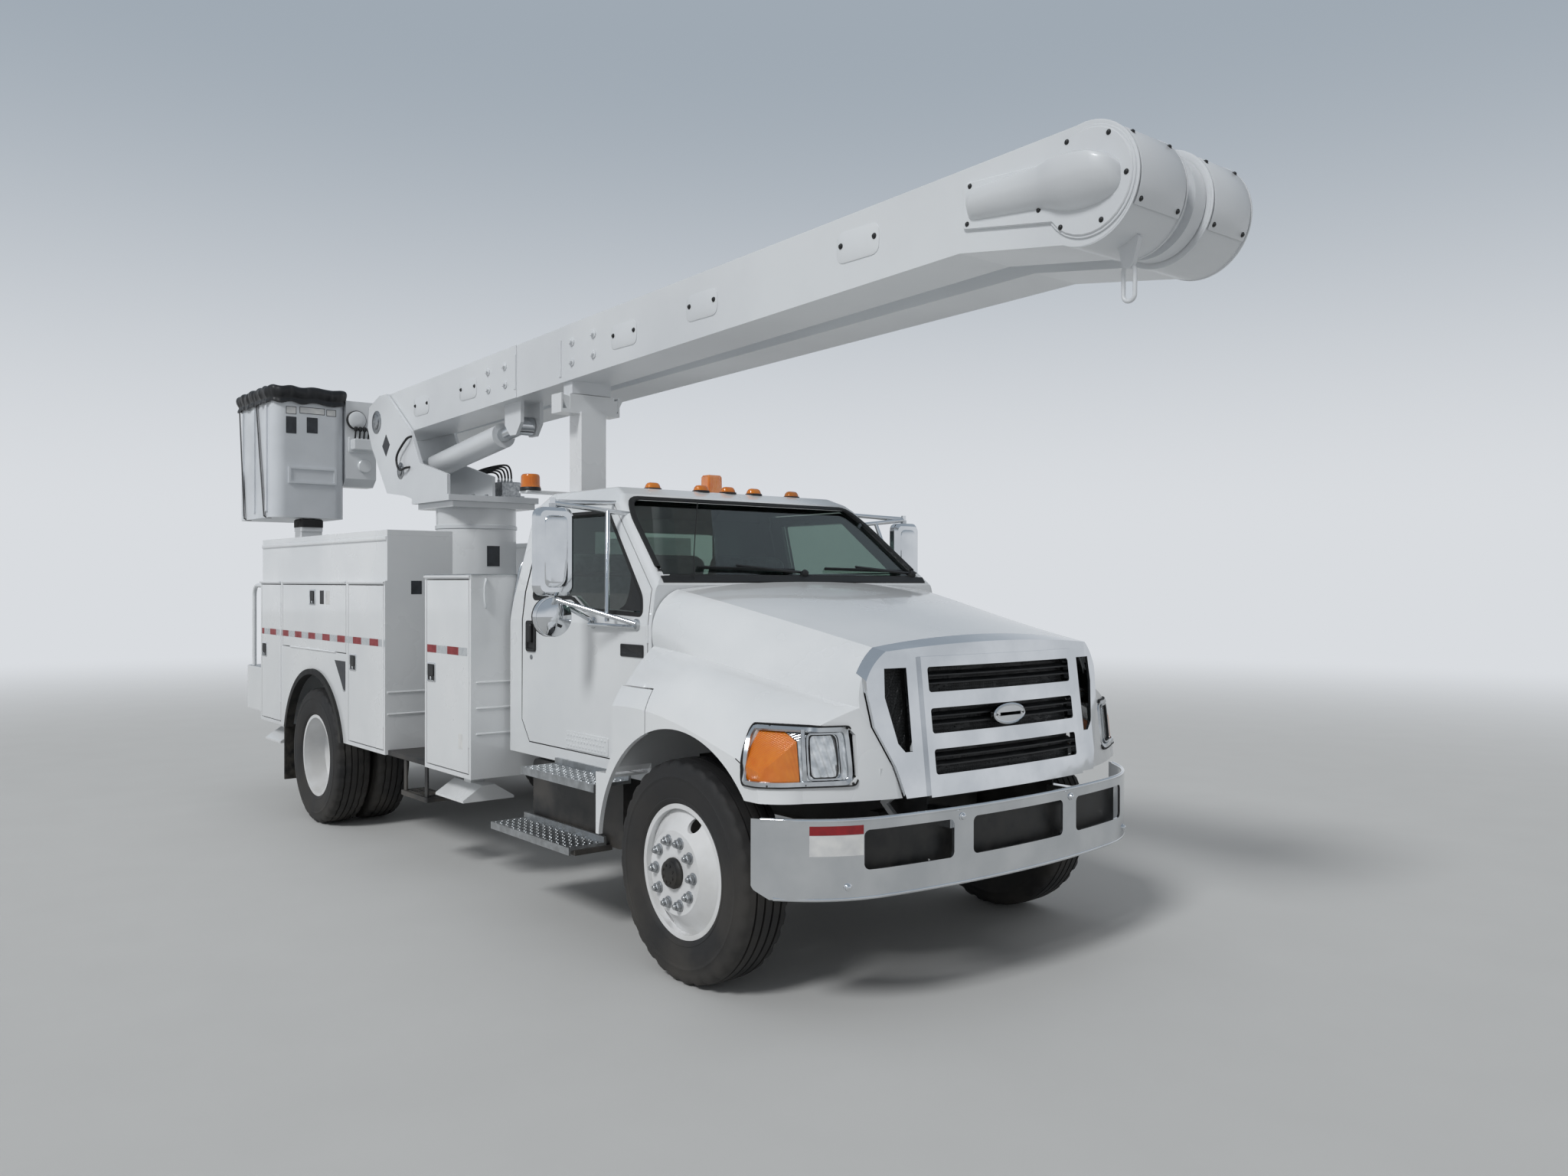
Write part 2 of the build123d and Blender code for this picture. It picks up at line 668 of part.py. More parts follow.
with BuildPart() as door_glass:
    slab(window_outline, 600, 1100, inset=seat_gap)
    add(pane_outer, mode=Mode.INTERSECT)
    add(pane_inner, mode=Mode.SUBTRACT)
export_pair("door_glass", door_glass)

# Mirror on two arms that are fixed to the door
mirror_x_low = 1135
mirror_x_high = 1345
mirror_low_z = 1705
mirror_top_z = 2145
mirror_front_y = 935
mirror_depth = 55
stay_radius = 11
collar_radius = 15
with BuildPart() as mirror_set:
    middle_x = (mirror_x_low + mirror_x_high) / 2
    with BuildSketch(across(mirror_front_y)):
        with Locations((middle_x, (mirror_low_z + mirror_top_z) / 2)):
            RectangleRounded(mirror_x_high - mirror_x_low, mirror_top_z - mirror_low_z, 50)
    extrude(amount=-mirror_depth)
    chamfer(faces().sort_by(Axis.Y)[0].edges(), 18)
    bar((middle_x, 960, 1600), (middle_x, 1000, 1600), 100)
    for z_low, z_high in ((1590, mirror_low_z + 12), (mirror_top_z - 12, 2195)):
        bar((middle_x, 975, z_low), (middle_x, 975, z_high), collar_radius)
    for anchor, height in (((800, 905, 2120), 2165), ((790, 1050, 2190), 2175)):
        bar(anchor, (middle_x, 975, height), stay_radius)
    for y in (600, 1010):
        bar((cab_half_width - 25, y, 1560), (middle_x, 975, 1690), stay_radius)
    add(cab_outer, mode=Mode.SUBTRACT)
export_pair("mirror", mirror_set)

# Dashboard with the steering column and wheel
steer_x = 470
dash_half = 870
with BuildPart() as dashboard:
    dash_front_y = cab_front_y + cab_wall + seat_gap
    slab([(dash_front_y, 1330), (800, 1330), (830, 1400), (800, 1620), (640, 1700), (dash_front_y, 1690)],
         -dash_half, dash_half)
    wheel_centre = Vector(steer_x, 960, 1640)
    tilt = Vector(0, -0.72, -0.69)
    bar(tuple(wheel_centre), tuple(wheel_centre + tilt * 260), 28)
    with BuildSketch(Plane(origin=wheel_centre + Vector(0, datum_y, 0), x_dir=(1, 0, 0),
                           z_dir=tilt)) as steering_ring:
        Circle(215)
        Circle(185, mode=Mode.SUBTRACT)
        Rectangle(400, 30)
        Circle(60)
    extrude(steering_ring.sketch, amount=28)
dashboard.part.label = "dashboard"
export_step(dashboard.part, "parts/dashboard.step")

# Seats: a driver's seat and a passenger bench
seat_floor_z = 970
with BuildPart() as seats:
    for x_low, x_high in ((-780, 130), (220, 760)):
        slab([(1120, seat_floor_z + seat_gap), (1640, seat_floor_z + seat_gap), (1640, 1250), (1880, 1950),
              (1860, 1990), (1770, 1990), (1560, 1390), (1120, 1420), (1080, 1380), (1090, 1250)], x_low, x_high)
seats.part.label = "seats"
export_step(seats.part, "parts/seats.step")

# Hood: a shell inside its form, cut round the wheels, the lamps and the chrome grille shell
hood_rear_y = cab_front_y - body_gap
with BuildPart() as hood:
    add(nose_shell.part)
    slab([(seam_y, 400), (700, 400), (700, seam_z), (seam_y, seam_z)], -1300, 1300, mode=Mode.SUBTRACT)
    slab([(hood_rear_y, 400), (700, 400), (700, 2000), (hood_rear_y, 2000)], -1300, 1300, mode=Mode.SUBTRACT)
    slab([(-1100, 400), (seam_y + 5, 400), (seam_y + 5, 700), (-300, hood_low_z), (-1100, hood_low_z)], -1300, 1300,
         mode=Mode.SUBTRACT)
    add(wheel_arches.part, mode=Mode.SUBTRACT)
    add(lamp_room(seat_gap), mode=Mode.SUBTRACT)
    add(grille_room(seat_gap), mode=Mode.SUBTRACT)
    for sign in (-1, 1):
        low, high = sorted((sign * hood_arm_x, sign * (hood_arm_x + hood_arm_wall)))
        slab([(hood_pivot_y - 12, hood_pivot_z + 12), (-640, 812), (-760, 905), (-760, 1010), (-730, 1010),
              (-600, 815), (hood_pivot_y + 12, hood_pivot_z - 12)], low, high)
        bar((low, hood_pivot_y, hood_pivot_z), (high, hood_pivot_y, hood_pivot_z), 30)
        bar((low - 5, hood_pivot_y, hood_pivot_z), (high + 5, hood_pivot_y, hood_pivot_z),
            hood_pin_radius + pin_gap, Mode.SUBTRACT)
        arm_foot = sorted((sign * hood_arm_x, sign * 730))
        block((arm_foot[0], -836, 960), (arm_foot[1], -735, 1010))
hood.part.label = "hood"
export_step(hood.part, "parts/hood.step")

# Chrome grille shell, with three slots in its raised panel and a vent at each side
grille_slots = ((970, 1075), (1140, 1245), (1312, 1418))
slot_half = 478
vent_outline = [(578, 1418), (690, 1418), (698, 1300), (655, 1110), (620, 1072), (582, 1072)]
with BuildPart() as grille:
    add(nose_form(0, grille_stand))
    add(grille_room(0), mode=Mode.INTERSECT)
    add(nose_form(grille_wall, grille_stand - grille_wall), mode=Mode.SUBTRACT)
    with BuildPart(mode=Mode.PRIVATE) as panel:
        add(nose_form(0, grille_stand + 16))
        extrude(outline(across(-1200), [(-515, 880), (515, 880), (510, 1462), (-510, 1462)]), amount=-600,
                mode=Mode.INTERSECT)
        add(nose_form(0, grille_stand - 2), mode=Mode.SUBTRACT)
    add(panel.part)
    for z_low, z_high in grille_slots:
        with BuildSketch(across(-1200)):
            with Locations((0, (z_low + z_high) / 2)):
                RectangleRounded(2 * slot_half, z_high - z_low, 14)
        extrude(amount=-600, mode=Mode.SUBTRACT)
    extrude(outline(across(-1200), vent_outline), amount=-600, mode=Mode.SUBTRACT)
    extrude(outline(across(-1200), [(-x, z) for x, z in vent_outline]), amount=-600, mode=Mode.SUBTRACT)
grille.part.label = "grille"
export_step(grille.part, "parts/grille.step")

# Headlamps, and the amber lamps that wrap round the fenders' corners
for name, x_low, x_high in (("headlamps", lamp_inner_x, lamp_split_x - 2), ("corner_lamps", lamp_split_x + 2, 1300)):
    with BuildPart() as lamp:
        add(nose_form(8, -8))
        add(nose_form(70, -70), mode=Mode.SUBTRACT)
        add(lamp_room(0), mode=Mode.INTERSECT)
        block((-x_low, -1200, 500), (x_low, 0, 1500), mode=Mode.SUBTRACT)
        if x_high < 1300:
            for low, high in ((-1300, -x_high), (x_high, 1300)):
                block((low, -1200, 500), (high, 0, 1500), mode=Mode.SUBTRACT)
    lamp.part.label = name
    export_step(lamp.part, f"parts/{name}.step")

# Tool cabinets behind the cab, and their doors
cabinet_hinge = ((body_x, cabinet_front_y + sheet + door_gap / 2, body_low_z + 180),
                 (body_x, cabinet_front_y + sheet + door_gap / 2, cabinet_top_z - 180))
with BuildPart() as tool_cabinets:
    block((cabinet_inner_x, cabinet_front_y, body_low_z), (body_x, cabinet_rear_y, cabinet_top_z))
    block((cabinet_inner_x + sheet, cabinet_front_y + sheet, body_low_z + sheet),
          (body_x + 5, cabinet_rear_y - sheet, cabinet_top_z - sheet), mode=Mode.SUBTRACT)
    sleeve(outriggers[0][1], body_low_z)
    knuckles(*cabinet_hinge, "fixed")
    block((rail_x + seat_gap, 2200, 720), (cabinet_inner_x + 5, 2360, 820))
    mirror(about=Plane.YZ)
tool_cabinets.part.label = "tool_cabinets"
export_step(tool_cabinets.part, "parts/tool_cabinets.step")
with BuildPart() as cabinet_door:
    block((body_x - sheet, cabinet_front_y + sheet + door_gap, body_low_z + sheet + door_gap),
          (body_x, cabinet_rear_y - sheet - door_gap, cabinet_top_z - sheet - door_gap))
    knuckles(*cabinet_hinge, "moving")
export_pair("cabinet_door", cabinet_door)

# Boom rest behind the cab and bucket rest on the tail
post_front_y = 6640 + stretch
with BuildPart() as boom_rest:
    block((-280, rest_y_low, rail_top + seat_gap), (-100, rest_y_high, 2860))
    block((-415, rest_y_low + 20, 2850), (15, rest_y_high - 5, 2875))
    for x in (-415, 3):
        block((x, rest_y_low + 20, 2860), (x + 12, rest_y_high - 5, cradle_top_z))
    block((-352, rest_y_low + 20, 2870), (-25, rest_y_high - 5, cradle_top_z))
    block((-640, rest_y_low + 40, 2330), (-275, rest_y_high, 2345))
    block((-640, post_front_y, tail_top_z + seat_gap), (-460, post_front_y + 180, bucket_low_z - 10))
    block((-640, post_front_y - 340, tail_top_z + seat_gap), (-460, post_front_y + 5, tail_top_z + 90))
boom_rest.part.label = "boom_rest"
export_step(boom_rest.part, "parts/boom_rest.step")

# Lamps: amber markers on the roof, two beacons, red lamps at the tail
with BuildPart() as lamps:
    for x, y in ((-500, 1160), (-190, 1135), (0, 1135), (190, 1135), (500, 1160)):
        block((x - 40, y, cab_roof_z + seat_gap), (x + 40, y + 70, cab_roof_z + 35))
    bar((-590, 2440, 2345 + seat_gap), (-590, 2440, 2345 + 150), 60)
    for x in (-1050, 900):
        block((x, tail_rear_y + stretch + seat_gap, 860), (x + 150, tail_rear_y + stretch + 30, 960))
lamps.part.label = "lamps"
export_step(lamps.part, "parts/lamps.step")

# Outriggers: a square leg that slides down out of its sleeve, with a roof-shaped shoe
for name, y in (outriggers[0], (outriggers[1][0], outriggers[1][1] + stretch)):
    with BuildPart() as outrigger:
        block((leg_x - leg_half, y - leg_half, shoe_low_z + 5), (leg_x + leg_half, y + leg_half, leg_top_z))
        with BuildSketch(across(y - shoe_half_y)):
            with BuildLine():
                Polyline((leg_x - 160, shoe_low_z), (leg_x + 160, shoe_low_z), (leg_x + 160, shoe_low_z + 14),
                         (leg_x + 40, shoe_low_z + 90), (leg_x - 40, shoe_low_z + 90),
                         (leg_x - 160, shoe_low_z + 14), close=True)
            make_face()
        extrude(amount=-2 * shoe_half_y)
    export_pair(name, outrigger)

# The body, the pedestal and the booms from here on are held by the rear axle
datum_y = body_datum_y

# Service body: a floor, two rows of side compartments, top boxes and the tail
compartments = (
    # name, y low, y high, z low, z high, thickness of its floor edge
    ("front", body_front_y + sheet, 3890, body_low_z + sheet, body_top_z - sheet),
    ("middle", 3930, 5310, middle_door_low_z, body_top_z - sheet),
    ("rear", 5350, body_rear_y - sheet, body_low_z + sheet, body_top_z - sheet),
)
door_hinges = {}
for name, y_low, y_high, z_low, z_high in compartments:
    if name == "middle":
        door_hinges[name] = ((body_x, y_low + 200, z_low + door_gap / 2), (body_x, y_high - 200, z_low + door_gap / 2))
    else:
        door_hinges[name] = ((body_x, y_low + door_gap / 2, z_low + 150), (body_x, y_low + door_gap / 2, z_high - 150))
lid_hinge = ((box_inner_x, body_front_y + 300, lid_box_top_z + seat_gap / 2),
             (box_inner_x, body_rear_y - 300, lid_box_top_z + seat_gap / 2))
filler_recess = [(3945, 1220), (4155, 1220), (4060, 1130), (3990, 1010), (3945, 1010)]
filler_depth = 18
hoop_x = 1115
hoop_y = (5940, 6380)
hoop_top_z = 1740
hoop_radius = 17
hoop_corner = 90
with BuildPart() as service_body:
    block((box_inner_x, body_front_y, body_low_z), (body_x, body_rear_y, body_top_z))
    for name, y_low, y_high, z_low, z_high in compartments:
        block((box_inner_x + sheet, y_low, z_low), (body_x + 5, y_high, z_high), mode=Mode.SUBTRACT)
    block((box_inner_x + sheet, 3890 + sheet, wheel_arch_z), (body_x - sheet, 5350 - sheet,
          middle_door_low_z - sheet), mode=Mode.SUBTRACT)
    bar((box_inner_x - 5, wheel_arch_y, wheel_arch_z), (body_x + 5, wheel_arch_y, wheel_arch_z),
        wheel_arch_radius, Mode.SUBTRACT)
    sleeve(outriggers[1][1], body_low_z)
    block((box_inner_x, body_front_y, lid_box_low_z - 5), (body_x - 15, body_rear_y, lid_box_top_z))
    block((box_inner_x + sheet, body_front_y + sheet, lid_box_low_z + 20),
          (body_x - 15 - sheet, body_rear_y - sheet, lid_box_top_z + 5), mode=Mode.SUBTRACT)
    for start, end in door_hinges.values():
        knuckles(start, end, "fixed")
    knuckles(*lid_hinge, "fixed")
    slab(filler_recess, body_x - filler_depth, body_x + 5, mode=Mode.SUBTRACT)
    mirror(about=Plane.YZ)
    block((-box_inner_x - 5, body_front_y, floor_z - floor_thickness),
          (box_inner_x + 5, body_rear_y + 5, floor_z))
    block((-tail_x, body_rear_y, tail_low_z), (tail_x, tail_rear_y, tail_top_z))
    block((-tail_x + tail_wall, body_rear_y - 5, tail_low_z - 5),
          (tail_x - tail_wall, tail_rear_y - tail_wall, tail_top_z - floor_thickness), mode=Mode.SUBTRACT)
    with BuildSketch(across(tail_rear_y - tail_wall - 5)):
        with Locations((0, hitch_z)):
            with GridLocations(hitch_spacing_x, hitch_spacing_z, 2, 2):
                Circle(hitch_hole_radius)
    extrude(amount=-tail_wall - 10, mode=Mode.SUBTRACT)
    for x in (-hoop_x, hoop_x):
        with BuildLine(side(x)) as hoop_line:
            FilletPolyline((hoop_y[0], tail_top_z - 20), (hoop_y[0], hoop_top_z), (hoop_y[1], hoop_top_z),
                           (hoop_y[1], tail_top_z - 20), radius=hoop_corner)
        with BuildSketch(level(tail_top_z - 20)) as hoop_section:
            with Locations((x, hoop_y[0])):
                Circle(hoop_radius)
        sweep(hoop_section.sketch, path=hoop_line.line)
    for x in (-rail_x, rail_x - 80):
        block((x, body_front_y, rail_top + seat_gap), (x + 80, body_rear_y, floor_z - floor_thickness + 5))
service_body.part.label = "service_body"
export_step(service_body.part, "parts/service_body.step")

# Side doors of the service body
for name, y_low, y_high, z_low, z_high in compartments:
    with BuildPart() as side_door:
        block((body_x - sheet, y_low + door_gap, z_low + door_gap), (body_x, y_high - door_gap, z_high - door_gap))
        knuckles(*door_hinges[name], "moving")
    export_pair(f"{name}_door", side_door)

# Lid over the top box
with BuildPart() as lid:
    block((box_inner_x, body_front_y, lid_box_top_z + seat_gap),
          (body_x - 15, body_rear_y, lid_box_top_z + lid_thickness))
    knuckles(*lid_hinge, "moving")
export_pair("top_lid", lid)

# Pedestal: a hollow column on the floor
with BuildPart() as pedestal:
    with BuildSketch(level(floor_z + seat_gap)):
        with Locations((0, pedestal_y)):
            Circle(pedestal_radius)
            Circle(pedestal_radius - 20, mode=Mode.SUBTRACT)
    extrude(amount=pedestal_top_z - floor_z - seat_gap)
    block((-340, pedestal_y - 320, pedestal_top_z - 45), (340, pedestal_y + 320, pedestal_top_z))
pedestal.part.label = "pedestal"
export_step(pedestal.part, "parts/pedestal.step")

# Rubber arch trim and mud flaps
with BuildPart() as arch_trim:
    turned([(body_x - 40, wheel_arch_radius - 40), (body_x + 20, wheel_arch_radius - 40),
            (body_x + 20, wheel_arch_radius - pin_gap), (body_x - 40, wheel_arch_radius - pin_gap)],
           wheel_arch_y, wheel_arch_z)
    block((body_x - 100, wheel_arch_y - 700, -300), (body_x + 50, wheel_arch_y + 700, body_low_z), mode=Mode.SUBTRACT)
    block((700, 5320, 230), (body_x - 20, 5340, body_low_z - seat_gap))
    mirror(about=Plane.YZ)
arch_trim.part.label = "arch_trim"
export_step(arch_trim.part, "parts/arch_trim.step")

# Turret: a base plate and two side plates that hold the lower boom's pin
plate_outline = [(4140, turret_base_top - 5), (4140, 2580), (4640, 2700), (4830, 2974), boom_top_rear,
                 (5480, 3320), (5700, 3250), (5740, 3080), (5640, 2900), (5310, 2500), (4940, 2460),
                 (4780, turret_base_top - 5)]
plates_x = (boom_x_low - body_gap - turret_plate, boom_x_high + body_gap)
with BuildPart() as turret:
    block((plates_x[0], 4110, turret_base_z), (360, 4800, turret_base_top))
    for x in plates_x:
        slab(plate_outline, x, x + turret_plate)
    bar((plates_x[0] - 10, lift_pin_y, lift_pin_z), (plates_x[1] + turret_plate + 10, lift_pin_y, lift_pin_z),
        lift_pin_radius)
    bar((plates_x[0] - 10, cylinder_base_y, cylinder_base_z),
        (plates_x[1] + turret_plate + 10, cylinder_base_y, cylinder_base_z), 35)
turret.part.label = "turret"
export_step(turret.part, "parts/turret.step")

# Lower boom: a box section from the turret's pin to the elbow drum
lower_outline = [boom_low_rear, boom_kink, (elbow_y - 30, elbow_z - drum_radius + 3),
                 (elbow_y, elbow_z + drum_radius), boom_top_rear, (5560, 3280), (5640, 3107), (5500, 2974)]
with BuildPart() as lower_boom:
    slab(lower_outline, boom_x_low, boom_x_high)
    bar((boom_x_low, elbow_y, elbow_z), (boom_x_high, elbow_y, elbow_z), drum_radius)
    slab(lower_outline, boom_x_low + boom_wall, boom_x_high - boom_wall, inset=boom_wall, mode=Mode.SUBTRACT)
    bar((boom_x_low, elbow_y, elbow_z), (boom_x_high, elbow_y, elbow_z), drum_radius)
    bar((boom_x_low, lift_pin_y, lift_pin_z), (boom_x_high, lift_pin_y, lift_pin_z), lift_pin_radius + 30)
    bar((boom_x_low - 5, lift_pin_y, lift_pin_z), (boom_x_high + 5, lift_pin_y, lift_pin_z),
        lift_pin_radius + pin_gap, Mode.SUBTRACT)
    block((-330, rest_y_low - stretch + 30, cradle_top_z + 5), (-47, rest_y_high - stretch - 10, 3100))
    for x_low, x_high in ((boom_x_low - 1, boom_x_low + insert_depth), (boom_x_high - insert_depth, boom_x_high + 1)):
        block((x_low, insert_front_y, 3000), (x_high, insert_rear_y, 3450), mode=Mode.SUBTRACT)
    for x in (-275, -127):
        slab([(3420, 3080), (3180, 3080), (3180, 2880), (3250, 2800), (3340, 2800), (3420, 2880)], x, x + 25)
lower_boom.part.label = "lower_boom"
export_step(lower_boom.part, "parts/lower_boom.step")

# Lift cylinder
boom_mid_x = (boom_x_low + boom_x_high) / 2
cylinder_run = Vector(0, cylinder_eye_y - cylinder_base_y, cylinder_eye_z - cylinder_base_z)
cylinder_length = cylinder_run.length
cylinder_way = cylinder_run.normalized()
cylinder_base = Vector(boom_mid_x, cylinder_base_y, cylinder_base_z)
cylinder_eye = Vector(boom_mid_x, cylinder_eye_y, cylinder_eye_z)
with BuildPart() as lift_barrel:
    bar(tuple(cylinder_base), tuple(cylinder_base + cylinder_way * barrel_length), cylinder_radius)
    bar((boom_mid_x - 95, cylinder_base_y, cylinder_base_z), (boom_mid_x + 95, cylinder_base_y, cylinder_base_z), 75)
    bar(tuple(cylinder_base + cylinder_way * 120), tuple(cylinder_base + cylinder_way * (barrel_length + 5)),
        cylinder_rod + pin_gap, Mode.SUBTRACT)
    bar((boom_mid_x - 100, cylinder_base_y, cylinder_base_z), (boom_mid_x + 100, cylinder_base_y, cylinder_base_z),
        35 + pin_gap, Mode.SUBTRACT)
lift_barrel.part.label = "lift_barrel"
export_step(lift_barrel.part, "parts/lift_barrel.step")
with BuildPart() as lift_rod:
    bar(tuple(cylinder_base + cylinder_way * 140), tuple(cylinder_eye), cylinder_rod)
    bar((boom_mid_x - 55, cylinder_eye_y, cylinder_eye_z), (boom_mid_x + 55, cylinder_eye_y, cylinder_eye_z), 65)
lift_rod.part.label = "lift_rod"
export_step(lift_rod.part, "parts/lift_rod.step")

# Elbow hub between the two drums, with a stub shaft into each
hub_shaft_radius = 80
with BuildPart() as elbow_hub:
    turned([(boom_x_high - 150, 0), (boom_x_high - 150, hub_shaft_radius), (boom_x_high + body_gap, hub_shaft_radius),
            (boom_x_high + body_gap, 180), (70, 180), (70, 215), (upper_x_low - body_gap, 215),
            (upper_x_low - body_gap, hub_shaft_radius), (upper_x_low + 150, hub_shaft_radius), (upper_x_low + 150, 0)],
           elbow_y, elbow_z)
elbow_hub.part.label = "elbow_hub"
export_step(elbow_hub.part, "parts/elbow_hub.step")
with BuildPart() as shaft_bore:
    bar((boom_x_high - 150 - seat_gap, elbow_y, elbow_z), (upper_x_low + 150 + seat_gap, elbow_y, elbow_z),
        hub_shaft_radius + pin_gap)

# The lower boom's drum again, now with the bore for the hub's shaft
with BuildPart() as lower_boom_bored:
    add(lower_boom.part)
    add(shaft_bore.part, mode=Mode.SUBTRACT)
lower_boom_bored.part.label = "lower_boom"
export_step(lower_boom_bored.part, "parts/lower_boom.step")

# Upper boom: from the elbow back over the body to the bucket
upper_outline = [(elbow_y, elbow_z + drum_radius), (tip_y, tip_z + tip_radius), (tip_y + tip_radius, tip_z),
                 (tip_y, tip_z - tip_radius), boom_kink, (elbow_y - 30, elbow_z - drum_radius + 3)]
with BuildPart() as upper_boom:
    slab(upper_outline, upper_x_low, upper_x_high)
    bar((upper_x_low, elbow_y, elbow_z), (upper_x_high, elbow_y, elbow_z), drum_radius)
    slab(upper_outline, upper_x_low + boom_wall, upper_x_high - boom_wall, inset=boom_wall, mode=Mode.SUBTRACT)
    bar((upper_x_low, elbow_y, elbow_z), (upper_x_high, elbow_y, elbow_z), drum_radius)
    bar((upper_x_low, tip_y, tip_z), (upper_x_high, tip_y, tip_z), tip_pin_radius + 30)
    bar((upper_x_low - 5, tip_y, tip_z), (upper_x_high + 5, tip_y, tip_z), tip_pin_radius + pin_gap, Mode.SUBTRACT)
    add(shaft_bore.part, mode=Mode.SUBTRACT)
upper_boom.part.label = "upper_boom"
export_step(upper_boom.part, "parts/upper_boom.step")

# Platform bracket: the post beside the bucket that carries it on the tip's pin
with BuildPart() as platform_bracket:
    slab([(6640, 2720), (6720, 2650), (6880, 2650), (6880, 3430), (6640, 3430)], bracket_x_low, bracket_x_high)
    bar((bracket_x_high - 5, tip_y, tip_z), (upper_x_high + 20, tip_y, tip_z), tip_pin_radius)
platform_bracket.part.label = "platform_bracket"
export_step(platform_bracket.part, "parts/platform_bracket.step")

# Bucket: an open tub with a rim, and a soft cover over it
with BuildPart() as bucket:
    with BuildSketch(level(bucket_low_z)):
        with Locations(((bucket_x_low + bucket_x_high) / 2, bucket_front_y + bucket_length / 2)):
            RectangleRounded(bucket_x_high - bucket_x_low, bucket_length, bucket_corner)
    extrude(amount=bucket_top_z - bucket_low_z)
    with BuildSketch(level(bucket_low_z + bucket_wall)):
        with Locations(((bucket_x_low + bucket_x_high) / 2, bucket_front_y + bucket_length / 2)):
            RectangleRounded(bucket_x_high - bucket_x_low - 2 * bucket_wall, bucket_length - 2 * bucket_wall,
                             bucket_corner - bucket_wall)
    extrude(amount=bucket_top_z - bucket_low_z, mode=Mode.SUBTRACT)
    for y in (6790, 7145, 7500):
        slab([(y - 22, 2400), (y + 22, 2400), (y + 22, 3340), (y - 22, 3340)], bucket_x_low - 14, bucket_x_low + 5)
    block((-760, bucket_front_y - 16, 2650), (-340, bucket_front_y + 5, 2795))
    block((-740, bucket_front_y - 20, 2668), (-362, bucket_front_y - 5, 2777), mode=Mode.SUBTRACT)
bucket.part.label = "bucket"
export_step(bucket.part, "parts/bucket.step")

with BuildPart() as bucket_cover:
    with BuildSketch(level(bucket_top_z + seat_gap)):
        with Locations(((bucket_x_low + bucket_x_high) / 2, bucket_front_y + bucket_length / 2)):
            RectangleRounded(bucket_x_high - bucket_x_low + 2 * bucket_rim, bucket_length + 2 * bucket_rim,
                             bucket_corner)
    extrude(amount=70)
bucket_cover.part.label = "bucket_cover"
export_step(bucket_cover.part, "parts/bucket_cover.step")
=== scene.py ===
"""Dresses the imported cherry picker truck: its finishes, its fine parts, a studio and the camera.

Metres, +Z up, the nose towards -Y. Stations are measured rearward from the front axle.
"""
from math import cos, pi, radians, sin

import bmesh
import bpy
from bpy.props import FloatProperty, FloatVectorProperty, PointerProperty
from mathutils import Matrix, Vector
from mathutils.bvhtree import BVHTree


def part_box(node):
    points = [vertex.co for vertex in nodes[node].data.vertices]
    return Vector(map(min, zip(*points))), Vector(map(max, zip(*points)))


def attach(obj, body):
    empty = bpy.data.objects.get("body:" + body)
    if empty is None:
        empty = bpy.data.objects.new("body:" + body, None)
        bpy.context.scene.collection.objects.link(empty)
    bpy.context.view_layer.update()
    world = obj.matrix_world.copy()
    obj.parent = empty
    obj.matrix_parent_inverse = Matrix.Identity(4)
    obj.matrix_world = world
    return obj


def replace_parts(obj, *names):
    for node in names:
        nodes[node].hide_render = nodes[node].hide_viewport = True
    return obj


bl_info = {
    "name": "Cherry Picker Truck",
    "version": (1, 0, 0),
    "blender": (4, 5, 0),
    "location": "View3D > Sidebar > Truck",
    "description": "Finishes, fine parts and a studio for a bucket truck",
    "category": "Object",
}

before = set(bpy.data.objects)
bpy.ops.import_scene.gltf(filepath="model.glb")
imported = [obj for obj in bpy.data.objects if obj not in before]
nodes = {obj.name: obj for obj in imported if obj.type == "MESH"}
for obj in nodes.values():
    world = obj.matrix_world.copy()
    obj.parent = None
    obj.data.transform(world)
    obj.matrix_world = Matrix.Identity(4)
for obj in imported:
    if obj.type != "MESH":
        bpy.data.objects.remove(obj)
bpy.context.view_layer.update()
SIDES = (("right", -1), ("left", 1))

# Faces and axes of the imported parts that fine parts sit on, out from the middle, up or behind the front axle
BODY_FACE = 1.21
CAB_FACE = 0.985
MIRROR_X = 1.24
BOOM_NEAR = -0.352
BOOM_FAR = 0.45
TURRET_FACE = -0.383
DECK_Z = 1.06
TURNTABLE_Z = 2.43
PEDESTAL = 4.454
BRACKET_FRONT = 6.64
LAMP_SHELF_Z = 2.345


def middle(node):
    """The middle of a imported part's box."""
    low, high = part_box(node)
    return (low + high) / 2


front_axle_y = middle("tyre_front_right").y
rear_axle = middle("tyres_rear_right").y - front_axle_y
hub_z = middle("tyre_front_right").z


def linear(code):
    """An sRGB hex colour as the linear values that a shader takes."""
    parts = [int(code[i:i + 2], 16) / 255 for i in (1, 3, 5)]
    return tuple(c / 12.92 if c <= 0.04045 else ((c + 0.055) / 1.055) ** 2.4 for c in parts) + (1.0,)


# Placing

def at(x, station, z):
    """The point x to the left, station behind the front axle and z up."""
    return Vector((x, front_axle_y + station, z))


def on_side(x, out):
    """A drawing of (station, z) on the plane at x, its thickness towards out."""
    return Matrix(((0, 0, out, x), (1, 0, 0, front_axle_y), (0, 1, 0, 0), (0, 0, 0, 1)))


def on_front(station, out=-1):
    """A drawing of (x, z) on the plane across the truck at station."""
    return Matrix(((1, 0, 0, 0), (0, 0, out, front_axle_y + station), (0, 1, 0, 0), (0, 0, 0, 1)))


def on_top(z):
    """A drawing of (x, station) on the level plane at z."""
    return Matrix(((1, 0, 0, 0), (0, 1, 0, front_axle_y), (0, 0, 1, z), (0, 0, 0, 1)))


